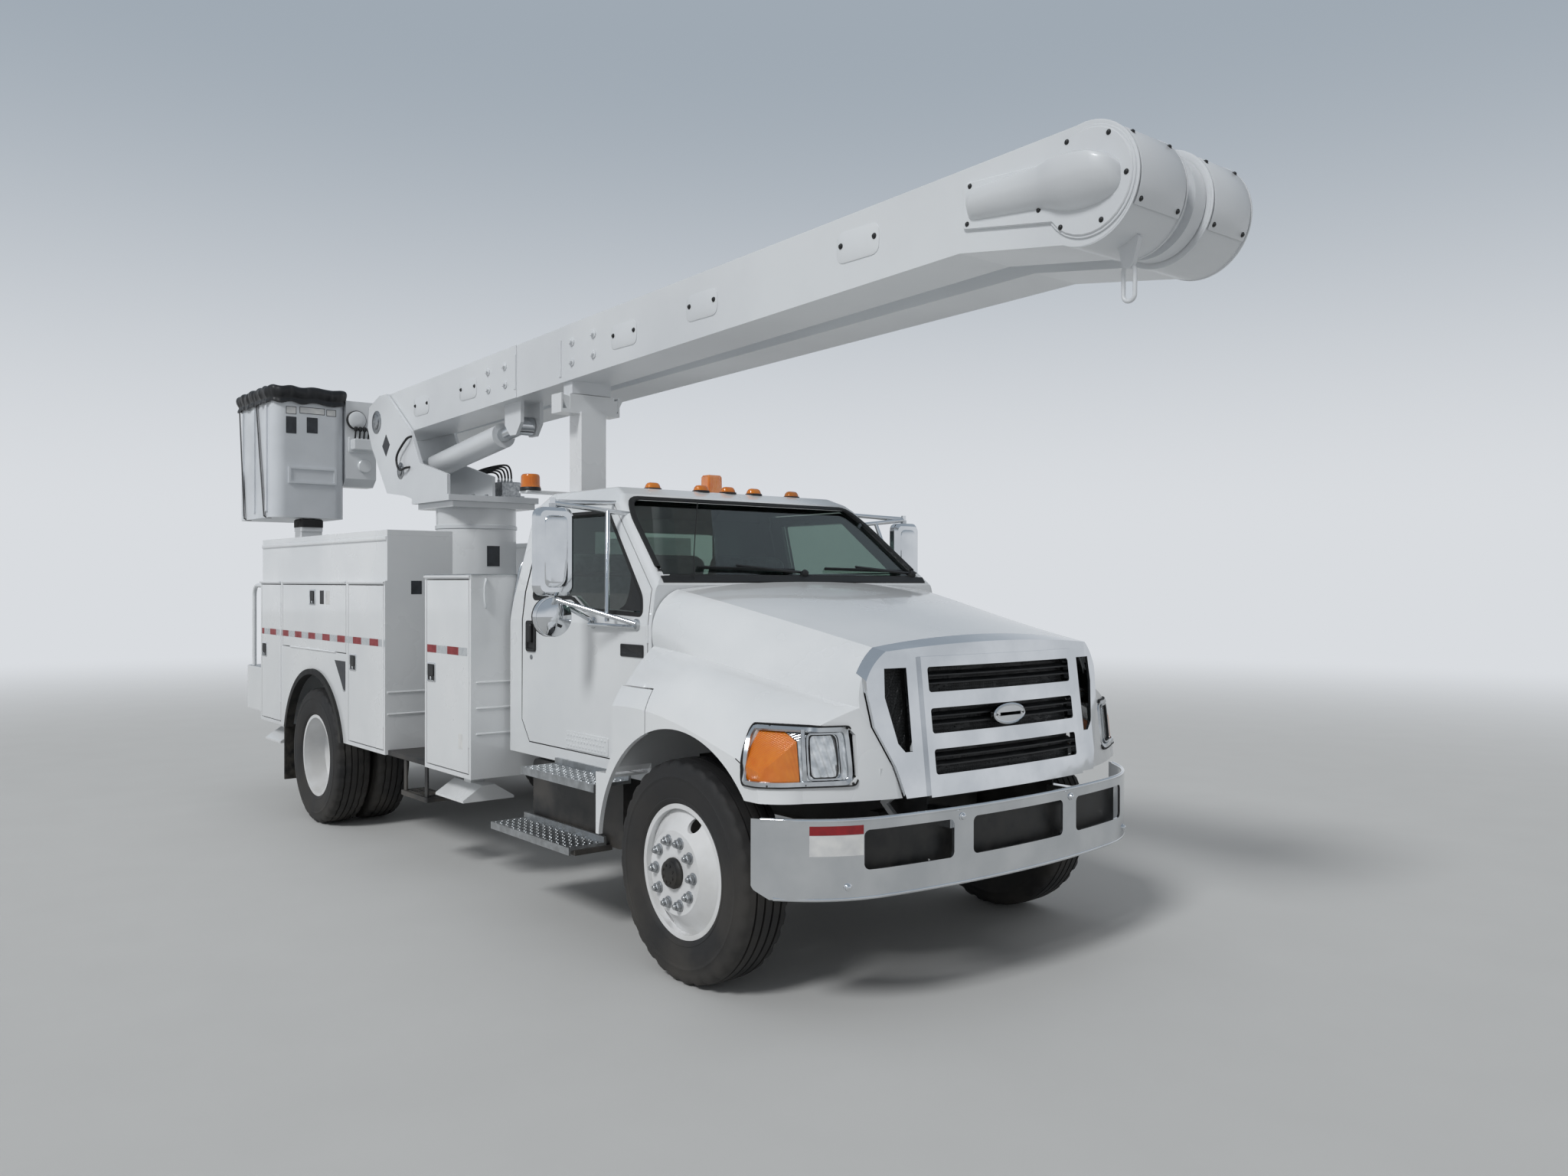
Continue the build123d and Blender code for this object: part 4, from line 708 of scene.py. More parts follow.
def nose_track(tree, sign, corners, loop=False):
    """A smooth track round the hood's nose through corners of (angle from straight ahead in degrees, z)."""
    pivot = (0.93, -0.4)
    found = []
    for angle, z in corners:
        way = Vector((sign * sin(radians(angle)), -cos(radians(angle)), 0))
        axis = at(sign * pivot[0], pivot[1], z)
        for point, normal in laid(tree, [axis + way * 1.3], -way):
            found.append((axis, way, (point - axis).length, normal))
    count, track = len(found), []
    for i, (axis, way, _, _) in enumerate(found):
        near = [found[j % count] for j in range(i - 3, i + 4) if loop or 0 <= j < count]
        reach = sum(sorted(item[2] for item in near)[len(near) // 3:]) / (len(near) - len(near) // 3)
        track.append((axis + way * reach, sum((item[3] for item in near), Vector()).normalized()))
    return track


# Frames round the lamps: angles and heights of their edges, corner, width, height and finish
LAMP_FRAMES = (
    (-12, 68, 0.962, 1.176, 4, 0.024, 0.007, 0),
    (-15, 70, 0.949, 1.189, 4, 0.006, 0.008, 1),
    (-7.2, 14.6, 0.978, 1.16, 3, 0.009, 0.011, 0),
    (-5.4, 12.8, 0.984, 1.154, 3, 0.004, 0.01, 1),
)
# Degrees round the nose that are drawn as long as a metre of height
DEGREES_A_METRE = 90.0


class TRUCK_OT_lamp_frames(bpy.types.Operator):
    """Frame the headlamps and corner lamps"""
    bl_idname = "truck.lamp_frames"
    bl_label = "Lamp frames"

    def execute(self, context):
        nose = skin("hood", "headlamps", "corner_lamps")
        form = bmesh.new()
        for sign in (-1, 1):
            for start, end, low, high, corner, width, height, finish in LAMP_FRAMES:
                flat = [(a, z * DEGREES_A_METRE) for a, z in ((start, low), (end, low), (end, high),
                    (start, high))]
                soft = dense(soften(flat, corner, 6), 1.4)
                track = nose_track(nose, sign, [(a, z / DEGREES_A_METRE) for a, z in soft], True)
                band(form, track, width, height, finish, True)
            split = nose_track(nose, sign, [(17.2, 0.962 + 0.0214 * i) for i in range(11)])
            band(form, split, 0.02, 0.007)
            for angle in (-12, 17.2, 45):
                for z in (0.957, 1.181):
                    for point, normal in nose_track(nose, sign, [(angle, z)]):
                        dome_screw(form, facing(point + normal * 0.005, normal), 0.0045, 1)
        piece("lamp_frames", form, "hood", "satin_chrome", "moulded_rubber")
        return {"FINISHED"}


class TRUCK_OT_hood_parts(bpy.types.Operator):
    """Lay the seams beside the hood, and fit the bumper with bolts, plates, edges and shield"""
    bl_idname = "truck.hood_parts"
    bl_label = "Hood seams and bumper plates"

    def execute(self, context):
        hood = skin("hood")
        form = bmesh.new()
        for sign in (-1, 1):
            low = [at(sign * 3, y, z) for y, z in ((-0.52, 1.0), (-0.5, 1.02), (-0.48, 1.035),
                (-0.45, 1.05))]
            seam = laid(hood, low, (-sign, 0, 0))
            if len(seam) > 1:
                band(form, seam, 0.005, 0.0012)
        piece("hood_seams", form, "hood", "moulded_rubber")
        bumper = skin("front_bumper")
        form = bmesh.new()
        for sign in (-1, 1):
            for x, z in ((0.37, 0.79), (0.93, 0.56)):
                for point, normal in struck(bumper, [(sign * x, z)]):
                    dome_screw(form, facing(point, normal), 0.014)
        for low, high, finish in ((0.686, 0.768, 1), (0.77, 0.806, 2)):
            rings = []
            for i in range(9):
                hits = struck(bumper, [(-1.06 + 0.024 * i, z) for z in (low, high)])
                rings.append([p + n * 0.0015 for p, n in hits] + [p - n * 0.001 for p, n in reversed(hits)])
            stack(form, rings, finish)
        piece("bumper_bolts", form, "chassis", "chrome_plate", "printed_vinyl", "red_sheeting")
        edges = []
        for z, reach in ((0.826, 1.19), (0.514, 1.16)):
            hits = struck(bumper, [(reach * (i / 16 - 1), z) for i in range(33)])
            edges.append([point - normal * 0.006 for point, normal in hits])
        bent_tube("bumper_edges", edges, 0.0095, "chassis", "chrome_plate")
        form = bmesh.new()
        rings = []
        for point, _ in struck(bumper, [(-0.95 + 0.1 * i, 0.8) for i in range(20)]):
            rings.append([(point.x, point.y + back, z) for back, z in ((0.06, 0.575), (0.06, 0.805),
                (0.066, 0.805), (0.066, 0.575))])
        stack(form, rings)
        piece("bumper_shield", form, "chassis", "moulded_plastic")
        return {"FINISHED"}


# Outlines of a door's window as (station, z) and of the windscreen as (x, z)
WINDOW = [(0.575, 1.622), (0.59, 1.7), (1.085, 2.135), (1.66, 2.135), (1.672, 1.69), (1.25, 1.7),
    (1.13, 1.64)]
WINDSCREEN = [(-0.885, 1.812), (0.885, 1.812), (0.812, 2.12), (0.76, 2.205), (-0.76, 2.205), (-0.812, 2.12)]


class TRUCK_OT_cab_trim(bpy.types.Operator):
    """Fit the cab's rubbers, wipers, cowl, handles and grab tubes"""
    bl_idname = "truck.cab_trim"
    bl_label = "Cab trim"

    def execute(self, context):
        shell = skin("cab_shell", "cab_glass")
        form = bmesh.new()
        edge = dense(soften(grow(WINDSCREEN, 0.012), 0.05), 0.08)
        band(form, struck(shell, edge, -2), 0.034, 0.005, 0, True)
        rear = dense(rectangle((0, 1.9), 0.92, 0.38, 0.05), 0.08)
        band(form, laid(shell, [at(x, 2.3, z) for x, z in rear], (0, -1, 0)), 0.028, 0.005, 0, True)
        band(form, struck(shell, [(-0.91 + 0.07 * i, 1.788) for i in range(27)], -2), 0.045, 0.006, 1)
        glass = skin("cab_glass", "cab_shell")
        for pivot, reach in ((0.02, -0.66), (0.84, -0.62)):
            for start, end, z_a, z_b, width, stand, height in ((pivot, pivot + reach * 0.62, 1.815, 1.848,
                    0.015, 0.014, 0.008), (pivot - 0.03, pivot + reach, 1.832, 1.842, 0.009, 0.004, 0.014)):
                blade = [(start + (end - start) * i / 8, z_a + (z_b - z_a) * i / 8) for i in range(9)]
                track = [(p + n * stand, n) for p, n in struck(glass, blade, -2)]
                band(form, track, width, height, 1)
            for point, normal in struck(shell, [(pivot, 1.812)], -2):
                turned(form, facing(point, normal), ((0.022, -0.002), (0.022, 0.012), (0.016, 0.028),
                    (0.008, 0.032)), 16, 1)
        piece("windscreen_trim", form, "chassis", "moulded_rubber", "moulded_plastic")
        tubes = []
        for side, sign in SIDES:
            doors = skin(f"cab_door_{side}", f"door_glass_{side}")
            reach = (-sign, 0, 0)
            form = bmesh.new()
            edge = dense(soften(grow(WINDOW, 0.009), 0.03), 0.07)
            band(form, laid(doors, [at(sign * 2, y, z) for y, z in edge], reach), 0.022, 0.004, 0, True)
            # The dark corner panel in front of the glass, and the trim below it
            sail = [(0.585, 1.632), (0.6, 1.7), (0.735, 1.815), (0.715, 1.72), (0.74, 1.66), (0.8, 1.636)]
            hits = laid(doors, [at(sign * 2, y, z) for y, z in soften(sail, 0.02)], reach)
            stack(form, [[p + Vector((sign * h, 0, 0)) for p, _ in hits] for h in (-0.002, 0.008)], 1)
            place = on_side(sign * CAB_FACE, sign)
            raised(form, place, rectangle((1.676, 1.472), 0.108, 0.172, 0.018),
                ((0, -0.012), (0, 0.008), (0.004, 0.011), (0.016, 0.011), (0.019, 0.004)), 1)
            raised(form, place, rectangle((1.676, 1.49), 0.052, 0.105, 0.014),
                ((0, 0.003), (0, 0.018), (0.006, 0.024)), 1)
            raised(form, place, rectangle((0.64, 1.437), 0.205, 0.062, 0.008),
                ((0, -0.001), (0, 0.005), (0.004, 0.007), (0.007, 0.005)), 1)
            knob(form, (sign * CAB_FACE, 1.676, 1.355), (sign, 0, 0),
                ((0.013, -0.001), (0.013, 0.003), (0.01, 0.005)), 20, 2)
            plate(form, place, rectangle((1.075, 0.938), 0.43, 0.095, 0.012), 0.004, 3)
            for row in range(3):
                for column in range(13):
                    y = 0.89 + 0.031 * column + 0.0155 * (row % 2)
                    knob(form, (sign * (CAB_FACE + 0.003), y, 0.912 + 0.027 * row), (sign, 0, 0),
                        ((0.009, 0), (0.007, 0.003), (0.003, 0.004)), 8, 3)
            piece(f"door_trim_{side}", form, f"cab_door_{side}", "moulded_rubber", "moulded_plastic",
                "zinc_plated_steel", "sprayed_enamel")
            tubes.append([at(sign * x, y, z) for x, y, z in ((0.8, 1.91, 1.915), (0.865, 1.944, 1.912),
                (0.912, 1.945, 1.872), (0.945, 1.945, 1.7), (0.968, 1.945, 1.575), (0.962, 1.944, 1.515),
                (0.9, 1.91, 1.49))])
        bent_tube("grab_tubes", tubes, 0.011, "chassis", "satin_chrome")
        bent_tube("whip_aerial", [[at(-0.72, 0.47, 1.74), at(-0.72, 0.5, 1.82), at(-0.717, 0.49, 2.0),
            at(-0.714, 0.47, 2.18)]], 0.0025, "chassis", "moulded_plastic")
        return {"FINISHED"}


class TRUCK_OT_mirrors(bpy.types.Operator):
    """Fit glass, rims and clamps to the mirrors"""
    bl_idname = "truck.mirrors"
    bl_label = "Mirrors"

    def execute(self, context):
        for side, sign in SIDES:
            form = bmesh.new()
            body = f"cab_door_{side}"
            back = on_front(0.99, 1)
            centre = (sign * MIRROR_X, 1.925)
            raised(form, back, rectangle(centre, 0.204, 0.434, 0.046),
                ((0, -0.004), (0, 0.004), (0.008, 0.006), (0.012, 0.002)), 1)
            plate(form, back, rectangle(centre, 0.182, 0.412, 0.04), 0.003)
            face = on_front(0.935, -1)
            raised(form, face, rectangle(centre, 0.13, 0.36, 0.04),
                ((0, -0.001), (0.004, 0.004), (0.012, 0.006), (0.03, 0.0065)), 2)
            lower = facing(at(sign * MIRROR_X, 1.0, 1.6), (0, 1, 0))
            turned(form, lower, ((0.101, -0.004), (0.101, 0.004), (0.094, 0.006), (0.09, 0.002)), 32, 1)
            turned(form, lower, ((0.091, 0.0), (0.091, 0.003), (0.06, 0.007), (0.02, 0.009)), 32)
            front = facing(at(sign * MIRROR_X, 0.96, 1.6), (0, -1, 0))
            turned(form, front, ((0.1, -0.01), (0.096, 0.006), (0.08, 0.016), (0.05, 0.024),
                (0.015, 0.027)), 32, 2)
            for z in (2.15, 1.698):
                knob(form, (sign * MIRROR_X, 0.975, z), (0, 0, 1), ((0.019, -0.016), (0.019, 0.016)), 20, 3)
            for y in (0.6, 1.01):
                knob(form, (sign * 0.986, y, 1.5642), (sign, 0, 0),
                    ((0.03, -0.006), (0.03, 0.003), (0.024, 0.006)), 20, 3)
            piece(f"mirror_parts_{side}", form, body, "mirror_glass", "moulded_rubber", "chrome_plate",
                "satin_chrome")
            head, foot = (MIRROR_X, 0.975, 2.168), (MIRROR_X, 0.975, 1.69)
            stays = (((0.8, 0.905, 2.121), head), ((0.79, 1.05, 2.191), head), ((0.975, 0.6, 1.565), foot),
                ((0.975, 1.01, 1.565), foot), ((0.95, 0.927, 2.134), (1.055, 0.76, 1.578)),
                ((0.99, 0.6, 1.553), (1.01, 1.01, 1.556)))
            routes = [[at(sign * (a + (b - a) * t), c + (d - c) * t, e + (f - e) * t) for t in (0, 0.5, 1)]
                for (a, c, e), (b, d, f) in stays]
            bent_tube(f"mirror_stays_{side}", routes, 0.0122, body, "chrome_plate")
        return {"FINISHED"}


class TRUCK_OT_lamps(bpy.types.Operator):
    """Build the marker lamps, beacons and tail lamps"""
    bl_idname = "truck.lamps"
    bl_label = "Lamps and beacons"

    def execute(self, context):
        form = bmesh.new()
        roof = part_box("cab_shell")[1].z
        for x, y in ((-0.5, 1.195), (-0.19, 1.17), (0, 1.17), (0.19, 1.17), (0.5, 1.195)):
            raised(form, on_top(roof), rectangle((x, y), 0.098, 0.074, 0.034),
                ((0, -0.012), (0, 0.006), (0.003, 0.008)), 1)
            raised(form, on_top(roof), rectangle((x, y), 0.088, 0.064, 0.031),
                ((0, 0.006), (0.001, 0.014), (0.006, 0.026), (0.014, 0.035), (0.024, 0.038)))
        beacon = facing(at(-0.59, 2.44, LAMP_SHELF_Z), (0, 0, 1))
        turned(form, beacon, ((0.066, -0.001), (0.066, 0.014), (0.062, 0.022)), 40, 1)
        turned(form, beacon, ((0.062, 0.018), (0.062, 0.028), (0.0595, 0.03), (0.058, 0.088),
            (0.055, 0.098), (0.046, 0.104), (0.02, 0.106)), 40)
        slab(form, on_top(roof), rectangle((0.06, 1.41), 0.128, 0.1, 0.02), 0.014, 0.006, 0.018, 1)
        raised(form, on_top(roof), rectangle((0.06, 1.41), 0.106, 0.086, 0.014),
            ((0, 0.014), (0.003, 0.112), (0.012, 0.124)))
        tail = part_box("service_body")[1].y - front_axle_y
        for x in (-0.975, 0.975):
            slab(form, on_front(tail, 1), rectangle((x, 0.91), 0.17, 0.115, 0.02), 0.012, 0.006, 0.016, 1)
            raised(form, on_front(tail, 1), rectangle((x, 0.91), 0.15, 0.096, 0.018),
                ((0, 0.01), (0.002, 0.026), (0.01, 0.032)), 2)
        made = piece("lamp_set", form, "chassis", "amber_acrylic", "moulded_plastic", "red_acrylic")
        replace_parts(made, "lamps")
        return {"FINISHED"}


class TRUCK_OT_steps(bpy.types.Operator):
    """Raise the grip buttons of the steps, and hang the steps between cabinets and body"""
    bl_idname = "truck.steps"
    bl_label = "Steps"

    def execute(self, context):
        form = bmesh.new()
        for sign in (-1, 1):
            for low, high, z in ((0.65, 1.385, 0.8003), (0.88, 1.735, 0.4563)):
                rows = round((high - low) / 0.036)
                for row in range(rows):
                    for column in range(5):
                        y = low + 0.03 + row * (high - low - 0.06) / (rows - 1)
                        x = sign * (1.018 + 0.037 * column + 0.01 * (row % 2))
                        raised(form, on_top(z), oval((x, y), 0.026, 0.014, 8),
                            ((0, -0.001), (0.0015, 0.003), (0.0035, 0.004)))
        piece("step_buttons", form, "chassis", "pressed_aluminium")
        form = bmesh.new()
        for sign in (-1, 1):
            place = on_top(0.655)
            plate(form, place, rectangle((sign * 0.99, 2.915), 0.4, 0.632, 0.004), 0.03)
            for y in (2.66, 2.98):
                plate(form, on_side(sign * 1.168, sign), rectangle((y, 0.555), 0.04, 0.24, 0.004), 0.01)
            plate(form, on_top(0.43), rectangle((sign * 1.11, 2.82), 0.16, 0.4, 0.01), 0.028)
            for row in range(9):
                for column in range(3):
                    spot = at(sign * (1.06 + 0.048 * column), 2.66 + 0.04 * row, 0.457)
                    turned(form, facing(spot, (0, 0, 1)), ((0.013, 0), (0.01, 0.004), (0.005, 0.0045)), 8)
        piece("hanging_steps", form, "chassis", "chassis_paint")
        return {"FINISHED"}


def latch(form, place, centre):
    """A folding latch in a pressed frame: frame, dark well and bright handle."""
    raised(form, place, rectangle(centre, 0.126, 0.114, 0.012),
        ((0, -0.001), (0, 0.003), (0.004, 0.005), (0.009, 0.005), (0.011, 0.001)))
    plate(form, place, rectangle(centre, 0.106, 0.094, 0.008), 0.002, 1)
    raised(form, place, rectangle((centre[0], centre[1] + 0.008), 0.078, 0.062, 0.012),
        ((0, 0.001), (0, 0.005), (0.004, 0.008)), 1)
    turned(form, place @ Matrix.Translation((centre[0], centre[1] - 0.036, 0)),
        ((0.011, 0.001), (0.011, 0.006), (0.008, 0.007)), 16)


# Doors that carry a latch: body, station and height of the latch, and the stripe's ends
BODY_DOORS = (
    ("cabinet_door", 2.505, 1.234, 2.0, 2.565),
    ("front_door", 3.8, 1.224, 3.265, 3.88),
    ("middle_door", 4.62, 1.659, 3.94, 5.3),
    ("rear_door", 5.77, 1.228, 5.36, 5.835),
)
# Lower edge of the reflective stripe, and the length of its fields
STRIPE_Z = 1.352
FIELD = 0.152


def stripe(form, place, start, end, height):
    """Fields of red and silver tape, in step along the whole side."""
    field = int(start / FIELD)
    while field * FIELD < end:
        low, high = max(start, field * FIELD), min(end, (field + 1) * FIELD)
        if high - low > 0.004:
            plate(form, place, rectangle(((low + high) / 2, STRIPE_Z + height / 2), high - low, height),
                0.0009, 2 + field % 2, 0.0002)
        field += 1


class TRUCK_OT_body_parts(bpy.types.Operator):
    """Fit latches, stripes, hems and plates to the service body"""
    bl_idname = "truck.body_parts"
    bl_label = "Body hardware"

    def execute(self, context):
        height = context.scene.truck_sizes.stripe_height
        for side, sign in SIDES:
            place = on_side(sign * BODY_FACE, sign)
            for door, station, z, start, end in BODY_DOORS:
                form = bmesh.new()
                latch(form, place, (station, z))
                stripe(form, place, start, end, height)
                if door == "middle_door":
                    for y, finish in ((4.42, 1), (4.3, 4)):
                        plate(form, place, rectangle((y, 1.66), 0.085, 0.1, 0.004), 0.001, finish)
                if door == "cabinet_door":
                    plate(form, place, rectangle((2.1, 0.86), 0.055, 0.09, 0.004), 0.001, 4)
                piece(f"{door}_parts_{side}", form, f"{door}_{side}", "chrome_plate", "moulded_plastic",
                    "red_sheeting", "silver_sheeting", "printed_vinyl")
            form = bmesh.new()
            for start, end in ((3.233, 3.252), (3.895, 3.925), (5.315, 5.345)):
                stripe(form, place, start, end, height)
            for low, high, z in ((3.235, 3.885, 1.768), (3.935, 5.305, 1.768), (5.355, 5.865, 1.768),
                    (1.97, 2.595, 1.803)):
                slab(form, place, rectangle(((low + high) / 2, z), high - low, 0.012), 0.012, 0.004, 0.014)
            slab(form, on_side(sign * 1.195, sign), rectangle((4.55, 2.055), 2.62, 0.026), 0.008, 0.003,
                0.01)
            # Pressed beads across the fronts of the cabinet and the body
            for y, x, width, levels in ((1.965, 1.06, 0.24, (1.203, 1.056, 0.91)),
                    (3.23, 0.985, 0.42, (1.057, 0.915))):
                for z in levels:
                    bead = rectangle((sign * x, z), width, 0.012, 0.005)
                    raised(form, on_front(y), bead, ((0, -0.001), (0.001, 0.004), (0.003, 0.006)))
            plate(form, on_front(3.23), rectangle((sign * 1.0, 1.736), 0.075, 0.09, 0.004), 0.0012, 1)
            # A flat dark triangle laid on the side at the front of the wheel house, in the dark finish
            plate(form, place, [(4.156, 1.222), (3.948, 1.222), (3.952, 1.02), (3.975, 1.02)], 0.002, 1)
            piece(f"body_trim_{side}", form, "chassis", "sprayed_enamel", "dark_vinyl", "red_sheeting",
                "silver_sheeting")
        form = bmesh.new()
        for sign in (-1, 1):
            plate(form, on_top(1.815), rectangle((sign * 0.995, 2.2825), 0.438, 0.645, 0.006), 0.003)
        for y, width, length in ((6.16, 2.29, 0.57), (3.68, 1.49, 0.88), (5.31, 1.49, 1.1)):
            plate(form, on_top(DECK_Z), rectangle((0, y), width, length, 0.006), 0.003)
        piece("tread_plates", form, "chassis", "tread_plate")
        handles = []
        for sign in (-1, 1):
            handles.append([at(sign * x, y, z) for x, y, z in ((1.12, 1.972, 1.79), (1.12, 1.952, 1.79),
                (1.135, 1.949, 1.76), (1.135, 1.949, 1.66), (1.12, 1.952, 1.628), (1.12, 1.972, 1.628))])
        bent_tube("cabinet_handles", handles, 0.007, "chassis", "boom_enamel")
        return {"FINISHED"}


# The elbow's axis and the screws of its cover as (station, z)
ELBOW = (-1.56, 3.3)
COVER_SCREWS = ((-1.674, 3.461), (-1.483, 3.477), (-1.362, 3.402), (-0.99, 3.431), (-0.975, 3.276),
    (-1.348, 3.247), (-1.454, 3.154), (-1.642, 3.141), (-1.752, 3.293))
# Moulded hump over the elbow's chain: station, low and high edge, reach from the cover
HUMP = ((-0.984, 3.3, 3.38, 0.01), (-0.99, 3.292, 3.39, 0.03), (-1.005, 3.285, 3.397, 0.046),
    (-1.035, 3.281, 3.402, 0.055), (-1.2, 3.264, 3.404, 0.06), (-1.37, 3.246, 3.404, 0.063),
    (-1.41, 3.232, 3.406, 0.074), (-1.45, 3.216, 3.409, 0.09), (-1.5, 3.204, 3.41, 0.097),
    (-1.57, 3.199, 3.407, 0.098), (-1.64, 3.206, 3.394, 0.092), (-1.69, 3.222, 3.372, 0.074),
    (-1.718, 3.244, 3.345, 0.044), (-1.728, 3.264, 3.322, 0.012))
# Its section as (share of the height, share of the reach)
HUMP_SECTION = ((0, -0.1), (0.02, 0.12), (0.08, 0.34), (0.2, 0.6), (0.36, 0.82), (0.52, 0.95), (0.64, 1.0),
    (0.86, 1.0), (0.94, 0.95), (0.98, 0.8), (1.0, 0.45), (1.0, -0.1))
# Bolts of the booms' sides as (station, z)
SIDE_BOLTS = ((2.339, 3.293), (2.077, 3.303), (2.339, 3.167), (2.076, 3.177), (3.522, 3.261),
    (3.266, 3.264), (3.514, 3.133), (3.258, 3.139))
# Access covers as (station, height) of the middle
ACCESS = ((1.729, 3.242), (3.848, 3.178), (4.685, 3.152), (-0.293, 3.345), (0.94, 3.278))


class TRUCK_OT_elbow_cover(bpy.types.Operator):
    """Build the cover over the elbow, its hump, the drum plates and the lifting link"""
    bl_idname = "truck.elbow_cover"
    bl_label = "Elbow cover"

    def execute(self, context):
        disc_centre = (-1.575, 3.303)
        for name, body, x, sign in (("lower", "lower_boom", BOOM_NEAR, -1),
                ("upper", "upper_boom", BOOM_FAR, 1)):
            form = bmesh.new()
            place = on_side(x, sign)
            disc = [(disc_centre[0] + 0.203 * cos(radians(a)), disc_centre[1] + 0.203 * sin(radians(a)))
                for a in range(36, 325, 12)]
            tongue = soften([(-1.34, 3.214), (-0.95, 3.256), (-0.95, 3.452), (-1.34, 3.424)], 0.02)
            outline = disc + tongue[5:15]
            slab(form, place, outline, 0.01, 0.004, 0.014)
            slab(form, place, oval(disc_centre, 0.425, 0.425, 48), 0.005, 0.002, 0.007)
            rings = []
            for y, low_z, high_z, out in HUMP:
                tall = high_z - low_z
                rings.append([place @ Vector((y, low_z + tall * up, 0.01 + out * share))
                    for up, share in HUMP_SECTION])
            stack(form, rings)
            for y, z in COVER_SCREWS:
                dome_screw(form, place @ Matrix.Translation((y, z, 0.013)), 0.0085, 1)
            low, high = (-0.335, -0.042) if x < 0 else (0.167, 0.433)
            first, last = -47, 31
            rings = []
            for step in range(13):
                turn = radians(180 + first + (last - first) * step / 12)
                rings.append([at(a, ELBOW[0] + r * cos(turn), ELBOW[1] + r * sin(turn))
                    for a, r in ((low, 0.2345), (low, 0.2385), (low + 0.003, 0.24), (high - 0.003, 0.24),
                    (high, 0.2385), (high, 0.2345))])
            stack(form, rings)
            for angle in (first + 6, last - 6):
                for a in (low + 0.025, high - 0.025):
                    turn = radians(180 + angle)
                    out = Vector((0, cos(turn), sin(turn)))
                    dome_screw(form, facing(at(a, *ELBOW) + out * 0.239, out), 0.0085, 1)
            # Edge rings of the drum, where its flanges meet the plates
            for a in (low - 0.012, high + 0.012):
                knob(form, (a - 0.004, *ELBOW), (1, 0, 0),
                    ((0.2355, 0), (0.2385, 0.001), (0.2385, 0.007), (0.2355, 0.008)), 64)
            piece(f"{name}_elbow_cover", form, body, "boom_enamel", "moulded_plastic", crease=30)
        # The lifting link hangs from an eye under the near drum
        form = bmesh.new()
        centre = at(-0.19, -1.646, 2.93)
        rings = []
        for turn in turns_of(40):
            tall = 0.044 if sin(turn) > 0 else -0.044
            middle_point = centre + Vector((0, 0.026 * cos(turn), 0.026 * sin(turn) + tall))
            out = Vector((0, cos(turn), sin(turn)))
            rings.append([middle_point + out * (0.0085 * cos(a)) + Vector((0.0085 * sin(a), 0, 0))
                for a in turns_of(12)])
        stack(form, rings, 0, True)
        plate(form, on_side(-0.203, 1), soften([(-1.7, 3.11), (-1.6, 3.09), (-1.625, 2.985),
            (-1.667, 2.985)], 0.02), 0.026)
        piece("lifting_link", form, "lower_boom", "boom_enamel")
        return {"FINISHED"}


class TRUCK_OT_boom_parts(bpy.types.Operator):
    """Fit bolts and access covers to the booms, and pads and gussets to their rest"""
    bl_idname = "truck.boom_parts"
    bl_label = "Boom bolts and covers"

    def execute(self, context):
        for name, x, sign in (("lower_boom", BOOM_NEAR, -1), ("upper_boom", BOOM_FAR, 1)):
            form = bmesh.new()
            place = on_side(x, sign)
            for y, z in SIDE_BOLTS:
                spot = place @ Matrix.Translation((y, z, 0))
                turned(form, spot, ((0.027, -0.001), (0.027, 0.006), (0.023, 0.008)), 20)
                turned(form, spot, ((0.0165, 0.006), (0.0165, 0.02), (0.0145, 0.023)), 6)
            for y, z in ACCESS:
                slab(form, place, rectangle((y, z), 0.285, 0.146, 0.05), 0.003, 0.002, 0.004)
                for end in (-0.113, 0.113):
                    dome_screw(form, place @ Matrix.Translation((y + end, z + 0.01, 0.003)), 0.011, 1)
            # Raised edges of the box section where the insulating length is let in
            for y in (2.487, 3.113):
                slab(form, place, rectangle((y, 3.205), 0.022, 0.235), 0.004, 0.002, 0.006)
            piece(f"{name}_parts", form, name, "boom_enamel", "moulded_plastic")
        # Pads and gussets of the rest that the lower boom lies in
        form = bmesh.new()
        for x, lean in ((BOOM_NEAR, -1), (-0.025, 1)):
            for y in (2.372, 2.482):
                flare = [(x, 2.952), (x + lean * 0.055, 2.965), (x + lean * 0.062, 2.952),
                    (x + lean * 0.012, 2.862), (x, 2.862)]
                raised(form, on_front(y), flare, ((0, -0.004), (0, 0.004)))
        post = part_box("boom_rest")[1].y - front_axle_y - 0.09
        raised(form, on_top(2.262), rectangle((-0.55, post), 0.205, 0.205, 0.03),
            ((0.0, 0), (0, 0.06), (0.012, 0.0745)), 1)
        raised(form, on_top(2.225), rectangle((-0.55, post), 0.192, 0.192, 0.01),
            ((0.0, 0), (0, 0.036), (0.004, 0.04)))
        piece("rest_gussets", form, "chassis", "sprayed_enamel", "moulded_rubber")
        return {"FINISHED"}


